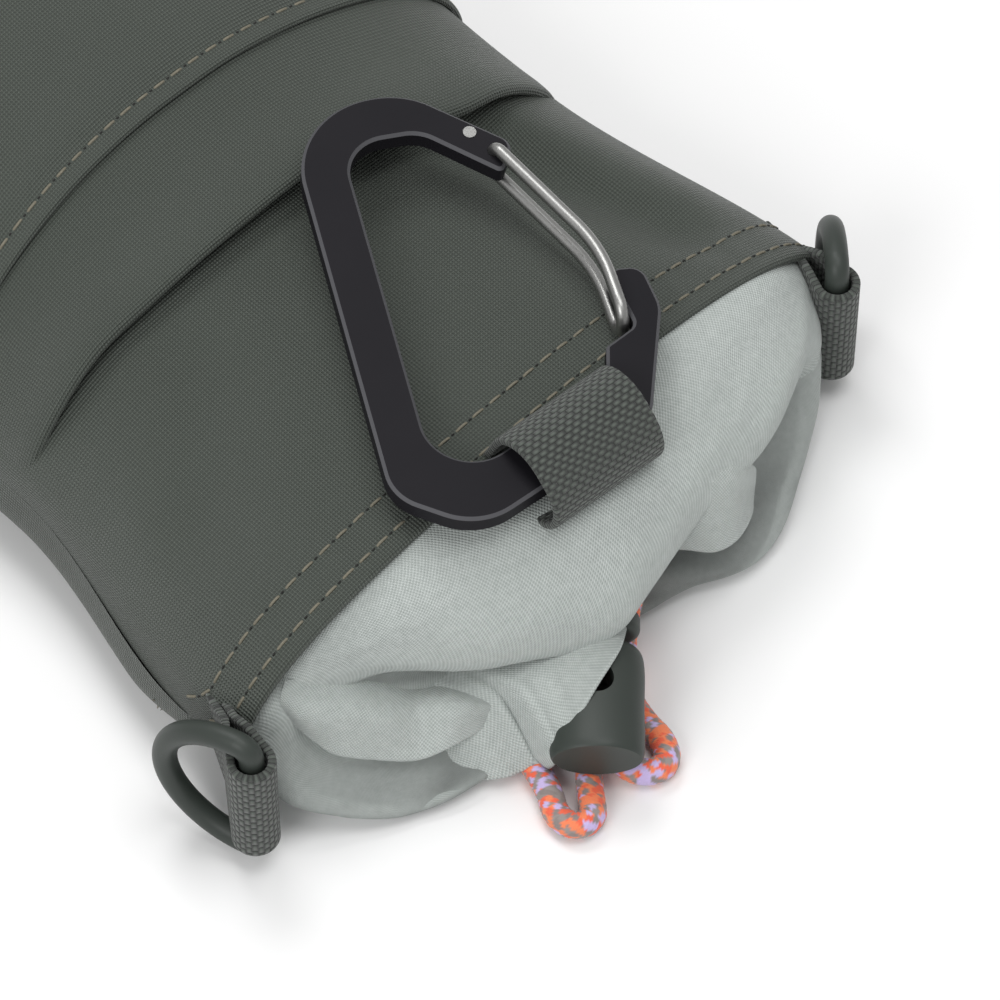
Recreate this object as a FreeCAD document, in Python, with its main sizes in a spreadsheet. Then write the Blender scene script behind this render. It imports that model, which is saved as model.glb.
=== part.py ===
import FreeCAD, Part
import math
import os
from FreeCAD import Placement, Rotation, Vector

import Sketcher

# Drawstring bottle pouch lying on its back: coated-fabric body with an oval base, a front pocket,
# a gathered collar closed by a shock cord and a cord lock, two D-rings and a flat wire-gate carabiner.
#
# Frame: +Z up from the surface the pouch lies on, +Y from the mouth to the base, +X across the front.
# Lengths are in millimetres. "s" is a distance from the hem line towards the base.

DOC = FreeCAD.newDocument("bottle_pouch")
X_AXIS, Y_AXIS, Z_AXIS = Vector(1, 0, 0), Vector(0, 1, 0), Vector(0, 0, 1)

DIMENSIONS = [
    # body
    ("mouth_y", -80.5, "where the hem line lies along Y"),
    ("body_length", 190, "hem line to base panel"),
    ("mouth_half_width", 60.5, "flattened half width at the hem"),
    ("waist_half_width", 53, "half width where the pocket starts"),
    ("base_half_width", 50, "half width of the oval base"),
    ("base_height", 41, "height of the oval base"),
    ("hem_bow", 8.0, "how far the middle of the hem stands out past its ends"),
    ("shell_wall", 1.0, "coated outer fabric"),
    ("foam_wall", 2.0, "foam sleeve"),
    ("lining_wall", 0.6, "inner lining"),
    ("layer_gap", 0.15, "air between the layers"),
    ("hem_depth", 13, "depth of the folded hem"),
    ("hem_wall", 0.8, "hem facing"),
    ("seam_radius", 1.1, "rolled seam along each side"),
    # pocket
    ("pocket_edge", 45, "hem line to the pocket's free edge"),
    ("pocket_seam", 66, "hem line to the seam between band and pocket"),
    ("pocket_bulge", 9, "how far the pocket stands off the front"),
    ("pocket_wall", 1.0, "pocket fabric"),
    ("band_wall", 1.6, "folded pocket band"),
    # collar and drawcord
    ("collar_wall", 0.9, "gathered collar fabric"),
    ("collar_inset", 6.0, "collar root inside the hem"),
    ("cord_dia", 4.0, "shock cord"),
    ("channel_dia", 5.4, "cord channel round the gathered edge"),
    # webbing and rings
    ("channel_half_width", 15.4, "middle of the channel to its ends"),
    ("channel_half_height", 5.3, "middle of the channel to its top"),
    ("web_width", 20, "webbing"),
    ("web_wall", 1.2, "webbing thickness"),
    ("front_loop_radius", 5.2, "inside radius of the carabiner's loop"),
    ("side_loop_radius", 2.3, "inside radius of a ring's loop"),
    ("front_tail", 2.5, "flat end of the front loop past its neck"),
    ("side_tail", 8.5, "flat end of a side loop past its neck"),
    ("loop_neck", 9.0, "loop axis to its stitched neck"),
    ("ring_wire", 3.6, "D-ring stock"),
    ("ring_bar_half", 10.3, "half of the ring's straight bar"),
    ("ring_corner", 2.2, "ring's corner radius"),
    ("ring_reach", 14.5, "bar to the middle of the bow"),
    # carabiner
    ("plate", 3.5, "carabiner plate"),
    ("plate_chamfer", 0.45, "edge break"),
    ("gate_wire", 1.9, "gate wire"),
    ("gate_gap", 0.3, "gate leg off the plate's face"),
    ("pivot_w", 9.4, "gate pivot across the carabiner"),
    ("pivot_v", 38.0, "gate pivot along the carabiner"),
    ("rivet_w", 6.7, "rivet across"),
    ("rivet_v", 41.8, "rivet along"),
    ("rivet_dia", 2.0, "rivet"),
    # cord lock
    ("lock_length", 18, "barrel length"),
    ("lock_width", 13.6, "barrel width at its wide end"),
    ("lock_height", 9.4, "barrel height at its wide end"),
    ("lock_floor", 2.2, "closed end of the barrel"),
    ("lock_hole_at", 7.0, "shoulder to the cord hole"),
    ("lock_hole_dia", 4.8, "upper cord hole"),
    ("lock_bore", 5.9, "plunger bore"),
    ("plunger_dia", 5.6, "plunger"),
    ("plunger_travel", 1.6, "button travel"),
    ("button_gap", 0.3, "left between button and shoulder when pressed home"),
    ("plunger_reach", 10.4, "shoulder to the plunger's inner end"),
    ("button_height", 3.8, "push button"),
    ("spring_wire", 0.5, "lock spring wire"),
]


def make_sheet():
    sheet = DOC.addObject("Spreadsheet::Sheet", "dims")
    for row, (alias, value, note) in enumerate(DIMENSIONS, 1):
        sheet.set(f"A{row}", alias)
        sheet.set(f"B{row}", str(value))
        sheet.set(f"C{row}", note)
        sheet.setAlias(f"B{row}", alias)
    DOC.recompute()
    return sheet


SHEET = make_sheet()


def dim(alias):
    return float(SHEET.get(alias))


# ---------------------------------------------------------------- body sections


def eased(s, stops):
    """A smooth value at s between (s, value) stops."""
    if s <= stops[0][0]:
        return stops[0][1]
    for (s0, v0), (s1, v1) in zip(stops, stops[1:]):
        if s <= s1:
            share = (s - s0) / (s1 - s0)
            return v0 + (v1 - v0) * share * share * (3 - 2 * share)
    return stops[-1][1]


def half_width(s):
    mouth, waist, base = dim("mouth_half_width"), dim("waist_half_width"), dim("base_half_width")
    return eased(s, [(0, mouth), (55, waist), (150, waist), (dim("body_length"), base)])


def crown(s):
    return eased(s, [(0, 36.2), (50, 36.0), (120, 41.0), (dim("body_length"), dim("base_height"))])


def seam_height(s):
    return eased(s, [(0, 14.5), (60, 17.5), (dim("body_length"), dim("base_height") / 2)])


FRONT_POWER = 2.4
BACK_POWER = 3.6


def bend(value, power):
    return math.copysign(abs(value) ** (2 / power), value)


def section_point(s, angle, inset, lift=0.0):
    """A point of the body's section at s: angle 0 to 180 is the front, 180 to 360 the back."""
    wide, seam = half_width(s) - inset, seam_height(s)
    power = FRONT_POWER if angle <= math.pi else BACK_POWER
    x = wide * bend(math.cos(angle), power)
    rise = bend(math.sin(angle), power)
    z = seam + rise * (crown(s) + lift - inset - seam if angle <= math.pi else seam - inset)
    return Vector(x, dim("mouth_y") + s, z)


def curve_through(points):
    spline = Part.BSplineCurve()
    spline.interpolate(points)
    return spline.toShape()


def arc_angles(start, stop, count):
    """Angles from start to stop, closer together towards both ends."""
    shares = [(1 - math.cos(math.pi * i / (count - 1))) / 2 for i in range(count)]
    return [start + (stop - start) * share for share in shares]


def crescent(s, inset, wall, start, stop, lift=0.0, count=15):
    """A closed outline between two insets, from one angle to another."""
    angles = arc_angles(start, stop, count)
    outer = [section_point(s, angle, inset, lift) for angle in angles]
    inner = [section_point(s, angle, inset + wall, lift) for angle in reversed(angles)]
    return Part.Wire([
        curve_through(outer),
        Part.LineSegment(outer[-1], inner[0]).toShape(),
        curve_through(inner),
        Part.LineSegment(inner[-1], outer[0]).toShape(),
    ])


def ring_wire(s, inset):
    """A whole section as two curves that meet at the seams."""
    count = 15
    front = [section_point(s, angle, inset) for angle in arc_angles(0, math.pi, count)]
    back = [section_point(s, angle, inset) for angle in arc_angles(math.pi + 1e-9, 2 * math.pi, count)]
    back[0], back[-1] = front[-1], front[0]
    return Part.Wire([curve_through(front), curve_through(back)])


STATION_STEP = 12


def stations(start, stop):
    """Section places from start to stop, shared by every layer so that the layers nest."""
    between = range(-STATION_STEP, int(dim("body_length")), STATION_STEP)
    return [start] + [s for s in between if start + 2 < s < stop - 2] + [stop]


def loft(wires):
    return Part.makeLoft(wires, True, True)


def crescent_shell(start, stop, inset, wall, angles, lift=lambda s: 0.0):
    return loft([crescent(s, inset, wall, *angles, lift(s)) for s in stations(start, stop)])


def tube_shell(start, stop, inset, wall):
    places = stations(start, stop)
    outer = loft([ring_wire(s, inset) for s in places])
    return outer.cut(loft([ring_wire(s, inset + wall) for s in places]))


def mouth_trim(extra=0.0):
    """Everything past the bowed hem line, as a solid to cut away."""
    reach, height = 90, 80
    y_hem, bow = dim("mouth_y") + extra, dim("hem_bow")
    half = dim("mouth_half_width")
    middle, left, right = Vector(0, y_hem - bow, -5), Vector(-half, y_hem, -5), Vector(half, y_hem, -5)
    corners = [
        right,
        Vector(reach, y_hem, -5),
        Vector(reach, y_hem - reach, -5),
        Vector(-reach, y_hem - reach, -5),
        Vector(-reach, y_hem, -5),
        left,
    ]
    edges = [Part.Arc(left, middle, right).toShape()]
    edges += [Part.LineSegment(a, b).toShape() for a, b in zip(corners, corners[1:])]
    return Part.Face(Part.Wire(edges)).extrude(Vector(0, 0, height))


def add_shape(label, shape):
    """A sub-part whose shape neither PartDesign nor the Part primitives can draw."""
    solids = shape.Solids
    kept = solids[0] if len(solids) == 1 else Part.makeCompound(solids)
    feature = DOC.addObject("Part::Feature", label)
    feature.Label = label
    feature.Shape = kept
    return feature


SEAM_ANGLE = math.radians(1.2)


def build_shell_panels():
    wall, length = dim("shell_wall"), dim("body_length")
    trim = mouth_trim()
    front = (SEAM_ANGLE, math.pi - SEAM_ANGLE)
    back = (math.pi + SEAM_ANGLE, 2 * math.pi - SEAM_ANGLE)
    for label, angles in (("front_panel", front), ("back_panel", back)):
        add_shape(label, crescent_shell(-STATION_STEP, length, 0, wall, angles).cut(trim))


def build_hem_band():
    inset = dim("shell_wall") + dim("layer_gap") / 2
    ring = tube_shell(-STATION_STEP, dim("hem_depth"), inset, dim("hem_wall"))
    add_shape("hem_band", ring.cut(mouth_trim(0.4)))


def inner_insets():
    foam = dim("shell_wall") + dim("layer_gap")
    lining = foam + dim("foam_wall") + dim("layer_gap")
    return foam, lining


def build_inner_sleeves():
    foam, lining = inner_insets()
    end = dim("body_length") - 5
    start = dim("hem_depth") + 1
    add_shape("foam_sleeve", tube_shell(start, end, foam, dim("foam_wall")))
    add_shape("lining", tube_shell(start, end, lining, dim("lining_wall")))


def build_side_seams():
    """A rolled seam along each side, a little outside the panels' edges."""
    radius = dim("seam_radius")
    for label, side in (("side_seam_left", -1), ("side_seam_right", 1)):
        wires = []
        for s in stations(1.5, dim("body_length") - 2):
            x = side * (half_width(s) + radius + 0.1)
            middle = Vector(x, dim("mouth_y") + s, seam_height(s))
            wires.append(Part.Wire(Part.makeCircle(radius, middle, Y_AXIS)))
        add_shape(label, loft(wires))


# ---------------------------------------------------------------- pocket


POCKET_GAP = 0.35
POCKET_SIDE = math.radians(4)


def pocket_lift(s):
    """How far the pocket's crown stands above the front panel's."""
    length, edge, bulge = dim("body_length"), dim("pocket_edge"), dim("pocket_bulge")
    return eased(s, [(edge, 5.2), (edge + 40, bulge), (length - 35, bulge), (length, 2.6)])


def build_pocket():
    outset = -POCKET_GAP
    angles = (POCKET_SIDE, math.pi - POCKET_SIDE)
    wall, band, seam = dim("pocket_wall"), dim("band_wall"), dim("pocket_seam")
    end = dim("body_length") - 1
    panel = crescent_shell(seam, end, outset - wall, wall, angles, pocket_lift)
    folded = crescent_shell(dim("pocket_edge"), seam - 0.2, outset - band, band, angles, pocket_lift)
    add_shape("pocket_panel", panel)
    add_shape("pocket_band", folded)


# ---------------------------------------------------------------- PartDesign helpers


def origin_plane(body, role):
    return next(f for f in body.Origin.OriginFeatures if f.Role == role)


def new_body(label):
    body = DOC.addObject("PartDesign::Body", label)
    body.Label = label
    return body


def add_sketch(body, name, edges, role="XY_Plane", offset=None):
    """A sketch on one of the body's origin planes holding these curves."""
    sketch = body.newObject("Sketcher::SketchObject", name)
    sketch.AttachmentSupport = [(origin_plane(body, role), "")]
    sketch.MapMode = "FlatFace"
    for edge in edges:
        sketch.addGeometry(edge, False)
    if offset:
        sketch.setExpression("AttachmentOffset.Base.z", offset)
    DOC.recompute()
    return sketch


def pad(body, name, sketch, length, midplane=False, reverse=False):
    feature = body.newObject("PartDesign::Pad", name)
    feature.Profile = sketch
    feature.setExpression("Length", length)
    if hasattr(feature, "SideType"):
        feature.SideType = "Symmetric" if midplane else "One side"
    else:
        feature.Midplane = midplane
    feature.Reversed = reverse
    sketch.Visibility = False
    DOC.recompute()
    return feature


def pocket_cut(body, name, sketch, length, midplane=False, reverse=False):
    """A pocket that stops the build if it removes nothing."""
    before = body.Shape.Volume
    feature = body.newObject("PartDesign::Pocket", name)
    feature.Profile = sketch
    feature.setExpression("Length", length)
    if hasattr(feature, "SideType"):
        feature.SideType = "Symmetric" if midplane else "One side"
    else:
        feature.Midplane = midplane
    feature.Reversed = reverse
    DOC.recompute()
    if body.Shape.Volume > before - 1e-3:
        raise RuntimeError(f"{body.Label}.{name} cuts nothing")
    return feature


def circle_at(u, v, radius):
    return Part.Circle(Vector(u, v, 0), Z_AXIS, radius)


def bind_radius(sketch, index, expression):
    """A radius constraint on one circle or arc, bound to the sheet."""
    geometry = sketch.Geometry[index]
    number = sketch.addConstraint(Sketcher.Constraint("Radius", index, geometry.Radius))
    sketch.setExpression(f"Constraints[{number}]", expression)


def bind_centre(sketch, index, across, along):
    """Ties a circle's centre to two sheet values."""
    geometry = sketch.Geometry[index]
    for kind, value, expression in (
        ("DistanceX", geometry.Center.x, across),
        ("DistanceY", geometry.Center.y, along),
    ):
        number = sketch.addConstraint(Sketcher.Constraint(kind, -1, 1, index, 3, value))
        sketch.setExpression(f"Constraints[{number}]", expression)


def outline(points):
    """Sketch curves from a closed run of corner points; a pair after a corner is (through, end) of an arc."""
    curves, here = [], Vector(*points[0], 0)
    for step in points[1:] + [points[0]]:
        if isinstance(step[0], tuple):
            through, end = Vector(*step[0], 0), Vector(*step[1], 0)
            curves.append(Part.Arc(here, through, end))
        else:
            end = Vector(*step, 0)
            if end.distanceToPoint(here) < 1e-9:
                continue
            curves.append(Part.LineSegment(here, end))
        here = end
    return curves


def corner_arc(before, corner, after, radius):
    """The tangent arc that rounds a corner, as its start, middle and end."""
    back, onward = (before - corner).normalize(), (after - corner).normalize()
    half = back.getAngle(onward) / 2
    reach = radius / math.tan(half)
    centre = corner + (back + onward).normalize() * (radius / math.sin(half))
    middle = centre + (corner - centre).normalize() * radius
    return corner + back * reach, middle, corner + onward * reach


def rounded(corners):
    """A closed outline of straight edges and tangent arcs from (across, along, radius) corners."""
    points = [Vector(u, v, 0) for u, v, _ in corners]
    arcs = [
        corner_arc(points[i - 1], point, points[(i + 1) % len(points)], corners[i][2])
        for i, point in enumerate(points)
    ]
    curves = []
    for i, (start, middle, end) in enumerate(arcs):
        curves.append(Part.LineSegment(arcs[i - 1][2], start))
        curves.append(Part.Arc(start, middle, end))
    return curves


# ---------------------------------------------------------------- base


def oval_points(inset):
    """The base's outline in its own plane, from the body's last section."""
    length = dim("body_length")
    angles = [2 * math.pi * i / 24 for i in range(24)]
    return [section_point(length, angle, inset) for angle in angles]


def add_base_plate(label, inset, wall, s):
    body = new_body(label)
    spline = Part.BSplineCurve()
    flat = [Vector(-p.x, p.z, 0) for p in oval_points(inset)]
    spline.interpolate(flat, PeriodicFlag=True)
    sketch = add_sketch(body, label + "_outline", [spline])
    pad(body, label + "_pad", sketch, wall)
    body.Placement = Placement(
        Vector(0, dim("mouth_y") + s, 0), Rotation(Vector(-1, 0, 0), Z_AXIS, Y_AXIS, "XZY")
    )
    return body


def build_base():
    foam, lining = inner_insets()
    length = dim("body_length")
    add_base_plate("base_panel", 0.3, "dims.shell_wall", length + 0.2)
    add_base_plate("base_foam", foam, "dims.foam_wall", length - dim("foam_wall") - 0.2)
    add_base_plate("base_lining", foam, "dims.lining_wall", length - 3.2)


# ---------------------------------------------------------------- webbing loops


def teardrop(size, half_neck, neck):
    """An arc round the origin and its two tangents, which run to a neck along +X."""
    reach = math.hypot(neck, half_neck)
    lean = math.asin(size / reach) - math.atan2(half_neck, neck)
    touch = Vector(size * math.sin(lean), size * math.cos(lean), 0)
    mirrored = Vector(touch.x, -touch.y, 0)
    far, far_mirrored = Vector(neck, half_neck, 0), Vector(neck, -half_neck, 0)
    curves = [
        Part.Arc(touch, Vector(-size, 0, 0), mirrored),
        Part.LineSegment(mirrored, far_mirrored),
        Part.LineSegment(far, touch),
    ]
    if half_neck:
        curves.append(Part.LineSegment(far_mirrored, far))
    return curves


def add_loop(label, radius_alias, placement, tail):
    """A folded webbing loop: two legs that meet at the neck and run on as a flat tail."""
    body = new_body(label)
    wall, neck = dim("web_wall"), dim("loop_neck")
    inside = dim(radius_alias)
    fold = teardrop(inside + wall, wall, neck) + teardrop(inside, 0, neck - wall)
    pad(body, label + "_width", add_sketch(body, label + "_fold", fold), "dims.web_width", midplane=True)
    strip = outline([(neck - 0.2, -wall), (neck + tail, -wall), (neck + tail, wall), (neck - 0.2, wall)])
    legs = add_sketch(body, label + "_tail", strip)
    pad(body, label + "_tails", legs, "dims.web_width", midplane=True)
    body.Placement = placement
    return body


FRONT_LOOP_AXIS = (0.0, -15.7, 39.05)
FRONT_LOOP_SKEW = -4.8
FRONT_LOOP_PITCH = 32
# side, where its ring's bar stands, turn outwards in plan and the ring's own turn at rest
SIDE_LOOPS = {
    "left": (-1, (-63.2, -15.5, 15.2), 23, 16),
    "right": (1, (54.8, -16.0, 15.2), -8, 43),
}


def mouth_point(x, y, z):
    return Vector(x, dim("mouth_y") + y, z)


def turned(x_dir, z_dir):
    """A rotation that carries X and Z to these directions."""
    y_dir = z_dir.cross(x_dir)
    return Rotation(x_dir, y_dir, z_dir, "ZXY")


def build_loops():
    pitch = math.radians(FRONT_LOOP_PITCH)
    inward = Vector(0, math.cos(pitch), -math.sin(pitch))
    skewed = Rotation(Z_AXIS, FRONT_LOOP_SKEW).multiply(turned(inward, X_AXIS))
    front = Placement(mouth_point(*FRONT_LOOP_AXIS), skewed)
    add_loop("front_loop", "front_loop_radius", front, dim("front_tail"))
    for name, (side, bar, outwards, _) in SIDE_LOOPS.items():
        turn = math.radians(outwards)
        inward = Vector(-side * math.sin(turn), math.cos(turn), 0)
        place = Placement(mouth_point(*bar), turned(inward, Z_AXIS))
        add_loop("side_loop_" + name, "side_loop_radius", place, dim("side_tail"))


# ---------------------------------------------------------------- D-rings


def ring_path():
    """The D's centreline: a bar along Z at u = 0, rounded corners and a bow out to the reach."""
    half, corner, reach = dim("ring_bar_half"), dim("ring_corner"), dim("ring_reach")
    slant = corner * math.sin(math.pi / 4)
    top, bottom = half + corner, -half - corner

    def at(u, w):
        return Vector(u, 0, w)

    return Part.Wire([
        Part.LineSegment(at(0, -half), at(0, half)).toShape(),
        Part.Arc(at(0, half), at(corner - slant, half + slant), at(corner, top)).toShape(),
        Part.Arc(at(corner, top), at(reach, 0), at(corner, bottom)).toShape(),
        Part.Arc(at(corner, bottom), at(corner - slant, -half - slant), at(0, -half)).toShape(),
    ])


def build_rings():
    path = ring_path()
    profile = Part.Wire(Part.makeCircle(dim("ring_wire") / 2, Vector(0, 0, 0), Z_AXIS))
    shape = path.makePipeShell([profile], True, True, 2)
    for name, (side, bar, _, rest) in SIDE_LOOPS.items():
        ring = add_shape("d_ring_" + name, shape)
        ring.Placement = Placement(mouth_point(*bar), Rotation(Z_AXIS, 90 - side * rest))


# ---------------------------------------------------------------- carabiner

# corners across and along the carabiner, each with the radius that rounds it
FRAME_CORNERS = [
    (-19.0, 50.5, 13.0),
    (-1.0, 50.5, 12.0),
    (12.6, 39.0, 2.2),
    (9.8, 34.2, 0.9),
    (-0.5, 43.3, 6.0),
    (-12.0, 43.3, 6.0),
    (-12.0, -16.3, 7.0),
    (15.6, -2.6, 3.6),
    (16.9, 2.6, 0.8),
    (21.9, 5.2, 1.5),
    (20.2, 15.2, 1.5),
    (25.4, 14.8, 2.6),
    (26.4, 7.5, 6.0),
    (20.3, -9.9, 5.0),
    (-7.9, -22.8, 10.0),
    (-19.0, -15.4, 7.0),
]
CARABINER_AT = (-2.2, -2.2, 40.6)
CARABINER_TURN = -30.5
CARABINER_PITCH = 6.4


def carabiner_placement():
    turn = Rotation(X_AXIS, CARABINER_PITCH).multiply(Rotation(Z_AXIS, CARABINER_TURN))
    return Placement(mouth_point(*CARABINER_AT), turn)


def build_frame():
    body = new_body("carabiner_frame")
    sketch = add_sketch(body, "frame_outline", rounded(FRAME_CORNERS))
    pad(body, "frame_plate", sketch, "dims.plate", midplane=True)
    holes = add_sketch(body, "frame_holes", [
        circle_at(dim("pivot_w"), dim("pivot_v"), dim("gate_wire") / 2 + 0.05),
        circle_at(dim("rivet_w"), dim("rivet_v"), dim("rivet_dia") / 2),
    ])
    bind_centre(holes, 0, "dims.pivot_w", "dims.pivot_v")
    bind_centre(holes, 1, "dims.rivet_w", "dims.rivet_v")
    bind_radius(holes, 0, "dims.gate_wire / 2 + 0.05")
    bind_radius(holes, 1, "dims.rivet_dia / 2")
    pocket_cut(body, "frame_drill", holes, "dims.plate * 2", midplane=True)
    chamfer = body.newObject("PartDesign::Chamfer", "frame_edges")
    chamfer.Base = (DOC.getObject("frame_drill"), rim_names("frame_drill", dim("plate") / 2))
    chamfer.setExpression("Size", "dims.plate_chamfer")
    DOC.recompute()
    body.Placement = carabiner_placement()


def rim_names(name, height):
    """Edges of the plate's two flat faces, apart from the drilled holes."""
    shape = DOC.getObject(name).Shape
    names = []
    for index, edge in enumerate(shape.Edges, 1):
        flat = all(abs(abs(v.Z) - height) < 1e-6 for v in edge.Vertexes)
        drilled = edge.Closed and isinstance(edge.Curve, Part.Circle)
        if flat and not drilled and abs(edge.BoundBox.ZLength) < 1e-6:
            names.append(f"Edge{index}")
    return names


def build_rivet():
    rivet = DOC.addObject("Part::Cylinder", "carabiner_rivet")
    rivet.Label = "carabiner_rivet"
    rivet.setExpression("Radius", "dims.rivet_dia / 2 - 0.02")
    rivet.setExpression("Height", "dims.plate + 0.2")
    inside = Placement(Vector(dim("rivet_w"), dim("rivet_v"), -dim("plate") / 2 - 0.1), Rotation())
    rivet.Placement = carabiner_placement().multiply(inside)


GATE_BEND = (19.9, 18.2)
GATE_END = (20.4, 6.2)


def gate_leg(side):
    """One leg from its stub in the plate to the bow at the nose, on one side of the plate."""
    wire, plate, turn, ease = dim("gate_wire"), dim("plate"), 1.4, 5.0
    level = plate / 2 + dim("gate_gap") + wire / 2
    pivot = Vector(dim("pivot_w"), dim("pivot_v"), 0)
    bend_at, end_at = Vector(*GATE_BEND, 0), Vector(*GATE_END, 0)
    along, onward = (bend_at - pivot).normalize(), (end_at - bend_at).normalize()
    rise = Vector(0, 0, side * level)
    stub = pivot + Vector(0, 0, side * 0.6)
    low, flat = pivot + Vector(0, 0, side * (level - turn)), pivot + rise + along * turn
    elbow_centre = low + along * turn
    elbow = elbow_centre + (Vector(0, 0, side) - along).normalize() * turn
    before, after = bend_at - along * ease + rise, bend_at + onward * ease + rise
    last = end_at - onward * level + rise
    return [
        Part.LineSegment(stub, low).toShape(),
        Part.Arc(low, elbow, flat).toShape(),
        Part.LineSegment(flat, before).toShape(),
        Part.Arc(before, corner_mid(before, bend_at + rise, after), after).toShape(),
        Part.LineSegment(after, last).toShape(),
    ], stub, last


def build_gate():
    """One bent wire: a leg on each side of the plate, joined by a bow that hooks behind the nose."""
    upper, stub, upper_end = gate_leg(1)
    lower, _, lower_end = gate_leg(-1)
    bow = Part.Arc(upper_end, Vector(*GATE_END, 0), lower_end).toShape()
    path = Part.Wire(Part.__sortEdges__(upper + [bow] + lower))
    profile = Part.Wire(Part.makeCircle(dim("gate_wire") / 2, stub, Z_AXIS))
    gate = add_shape("carabiner_gate", path.makePipeShell([profile], True, True, 2))
    gate.Placement = carabiner_placement()


def corner_mid(before, corner, after):
    """The middle of the arc that rounds a corner between two points equally far from it."""
    half = (before - corner).getAngle(after - corner) / 2
    radius = before.distanceToPoint(corner) * math.tan(half)
    return corner_arc(before, corner, after, radius)[1]


# ---------------------------------------------------------------- collar, channel and drawcord

# s of each ring's top and bottom, their heights, half width and centre across
COLLAR_RINGS = [
    (-8.5, -9.2, 31.8, 2.4, 54.0, -1.0),
    (-17.0, -11.5, 31.4, 1.0, 50.2, -1.5),
    (-25.0, -15.5, 28.0, 0.7, 44.0, -2.0),
    (-30.0, -18.0, 24.8, 0.7, 32.0, -5.0),
    (-27.0, -17.5, 21.5, 0.9, 26.0, -7.0),
    (-15.0, -14.0, 17.4, 1.5, 18.5, -8.0),
]


COLLAR_BACK_POWER = 2.8


def collar_wire(ring, inset):
    top_s, low_s, top_z, low_z, wide, across = ring
    top = mouth_point(across, top_s, top_z)
    low = mouth_point(across, low_s, low_z)
    up = (top - low).normalize()
    middle = (top + low) * 0.5
    tall = top.distanceToPoint(low) / 2 - inset
    count = 15
    front, back = [], []
    for angle in arc_angles(0, math.pi, count):
        x = (wide - inset) * bend(math.cos(angle), FRONT_POWER)
        front.append(middle + X_AXIS * x + up * tall * bend(math.sin(angle), FRONT_POWER))
        back.append(middle - X_AXIS * x - up * tall * bend(math.sin(angle), COLLAR_BACK_POWER))
    back[0], back[-1] = front[-1], front[0]
    return Part.Wire([curve_through(front), curve_through(back)])


def build_collar():
    """A puffed cap that runs out of the hem, over the front and back in to the gathered mouth."""
    root, skins = dim("collar_inset"), []
    for inset in (0, dim("collar_wall")):
        wires = [ring_wire(s, root + inset) for s in (8, 0)]
        skins.append(loft(wires + [collar_wire(ring, inset) for ring in COLLAR_RINGS]))
    add_shape("collar", skins[0].cut(skins[1]))


def mouth_loop(wide, tall, ahead):
    """A round-ended loop parallel to the gathered mouth, this far in front of it."""
    top_s, low_s, top_z, low_z, _, across = COLLAR_RINGS[-1]
    top, low = mouth_point(across, top_s, top_z), mouth_point(across, low_s, low_z)
    up = (top - low).normalize()
    centre = (top + low) * 0.5 + up.cross(X_AXIS) * -ahead
    rise, out = up * tall, X_AXIS * tall
    left, right = centre - X_AXIS * (wide - tall), centre + X_AXIS * (wide - tall)
    return Part.Wire([
        Part.LineSegment(left + rise, right + rise).toShape(),
        Part.Arc(right + rise, right + out, right - rise).toShape(),
        Part.LineSegment(right - rise, left - rise).toShape(),
        Part.Arc(left - rise, left - out, left + rise).toShape(),
    ])


def build_channel():
    """The cord channel round the mouth, and the part of the cord that it holds."""
    ahead = dim("channel_dia") / 2 + 0.5
    path = mouth_loop(dim("channel_half_width"), dim("channel_half_height"), ahead)
    start = path.Vertexes[0].Point
    tangent = path.Edges[0].tangentAt(path.Edges[0].FirstParameter)

    def tube(diameter):
        profile = Part.Wire(Part.makeCircle(diameter / 2, start, tangent))
        return path.makePipeShell([profile], True, True)

    cord, room = tube(dim("cord_dia")), tube(dim("cord_dia") + 0.2)
    add_shape("collar_channel", tube(dim("channel_dia")).cut(room))
    add_shape("drawcord_ring", cord)


LEFT_ROUTE = [
    (-24.2, -20.8, 8.6),
    (-24.4, -24.4, 6.6),
    (-24.9, -28.9, 4.0),
    (-25.8, -33.6, 2.5),
    (-27.2, -38.2, 2.2),
    (-29.6, -41.8, 2.2),
    (-29.0, -45.1, 2.2),
    (-26.0, -46.0, 2.2),
    (-23.9, -43.3, 2.2),
    (-21.5, -40.4, 2.2),
    (-18.8, -37.3, 2.2),
    (-16.6, -34.9, 2.6),
    (-15.6, -33.2, 4.2),
    (-15.5, -32.85, 6.8),
]
RIGHT_ROUTE = [
    (8.2, -20.8, 8.6),
    (5.4, -23.6, 6.4),
    (1.4, -25.4, 4.2),
    (-2.2, -28.4, 3.0),
    (-5.6, -31.6, 2.4),
    (-8.2, -35.6, 2.2),
    (-9.4, -40.0, 2.2),
    (-9.6, -43.8, 2.2),
    (-11.8, -47.0, 2.2),
    (-14.9, -46.3, 2.2),
    (-16.8, -43.2, 2.2),
    (-15.3, -39.9, 2.4),
    (-13.2, -37.5, 2.9),
    (-12.4, -36.3, 4.4),
    (-12.3, -36.0, 6.8),
]


def route_path(route, radii):
    """Straight runs joined by tangent arcs, each as large as its two runs allow."""
    points = [mouth_point(*p) for p in route]
    edges, here = [], points[0]
    for before, corner, after in zip(points, points[1:], points[2:]):
        back, onward = (before - corner), (after - corner)
        reach = 0.45 * min(back.Length, onward.Length)
        start = corner + back.normalize() * reach
        stop = corner + onward.normalize() * reach
        half = (start - corner).getAngle(stop - corner) / 2
        radii.append(reach * math.tan(half))
        edges.append(Part.LineSegment(here, start).toShape())
        edges.append(Part.Arc(start, corner_mid(start, corner, stop), stop).toShape())
        here = stop
    edges.append(Part.LineSegment(here, points[-1]).toShape())
    return Part.Wire(edges)


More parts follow.
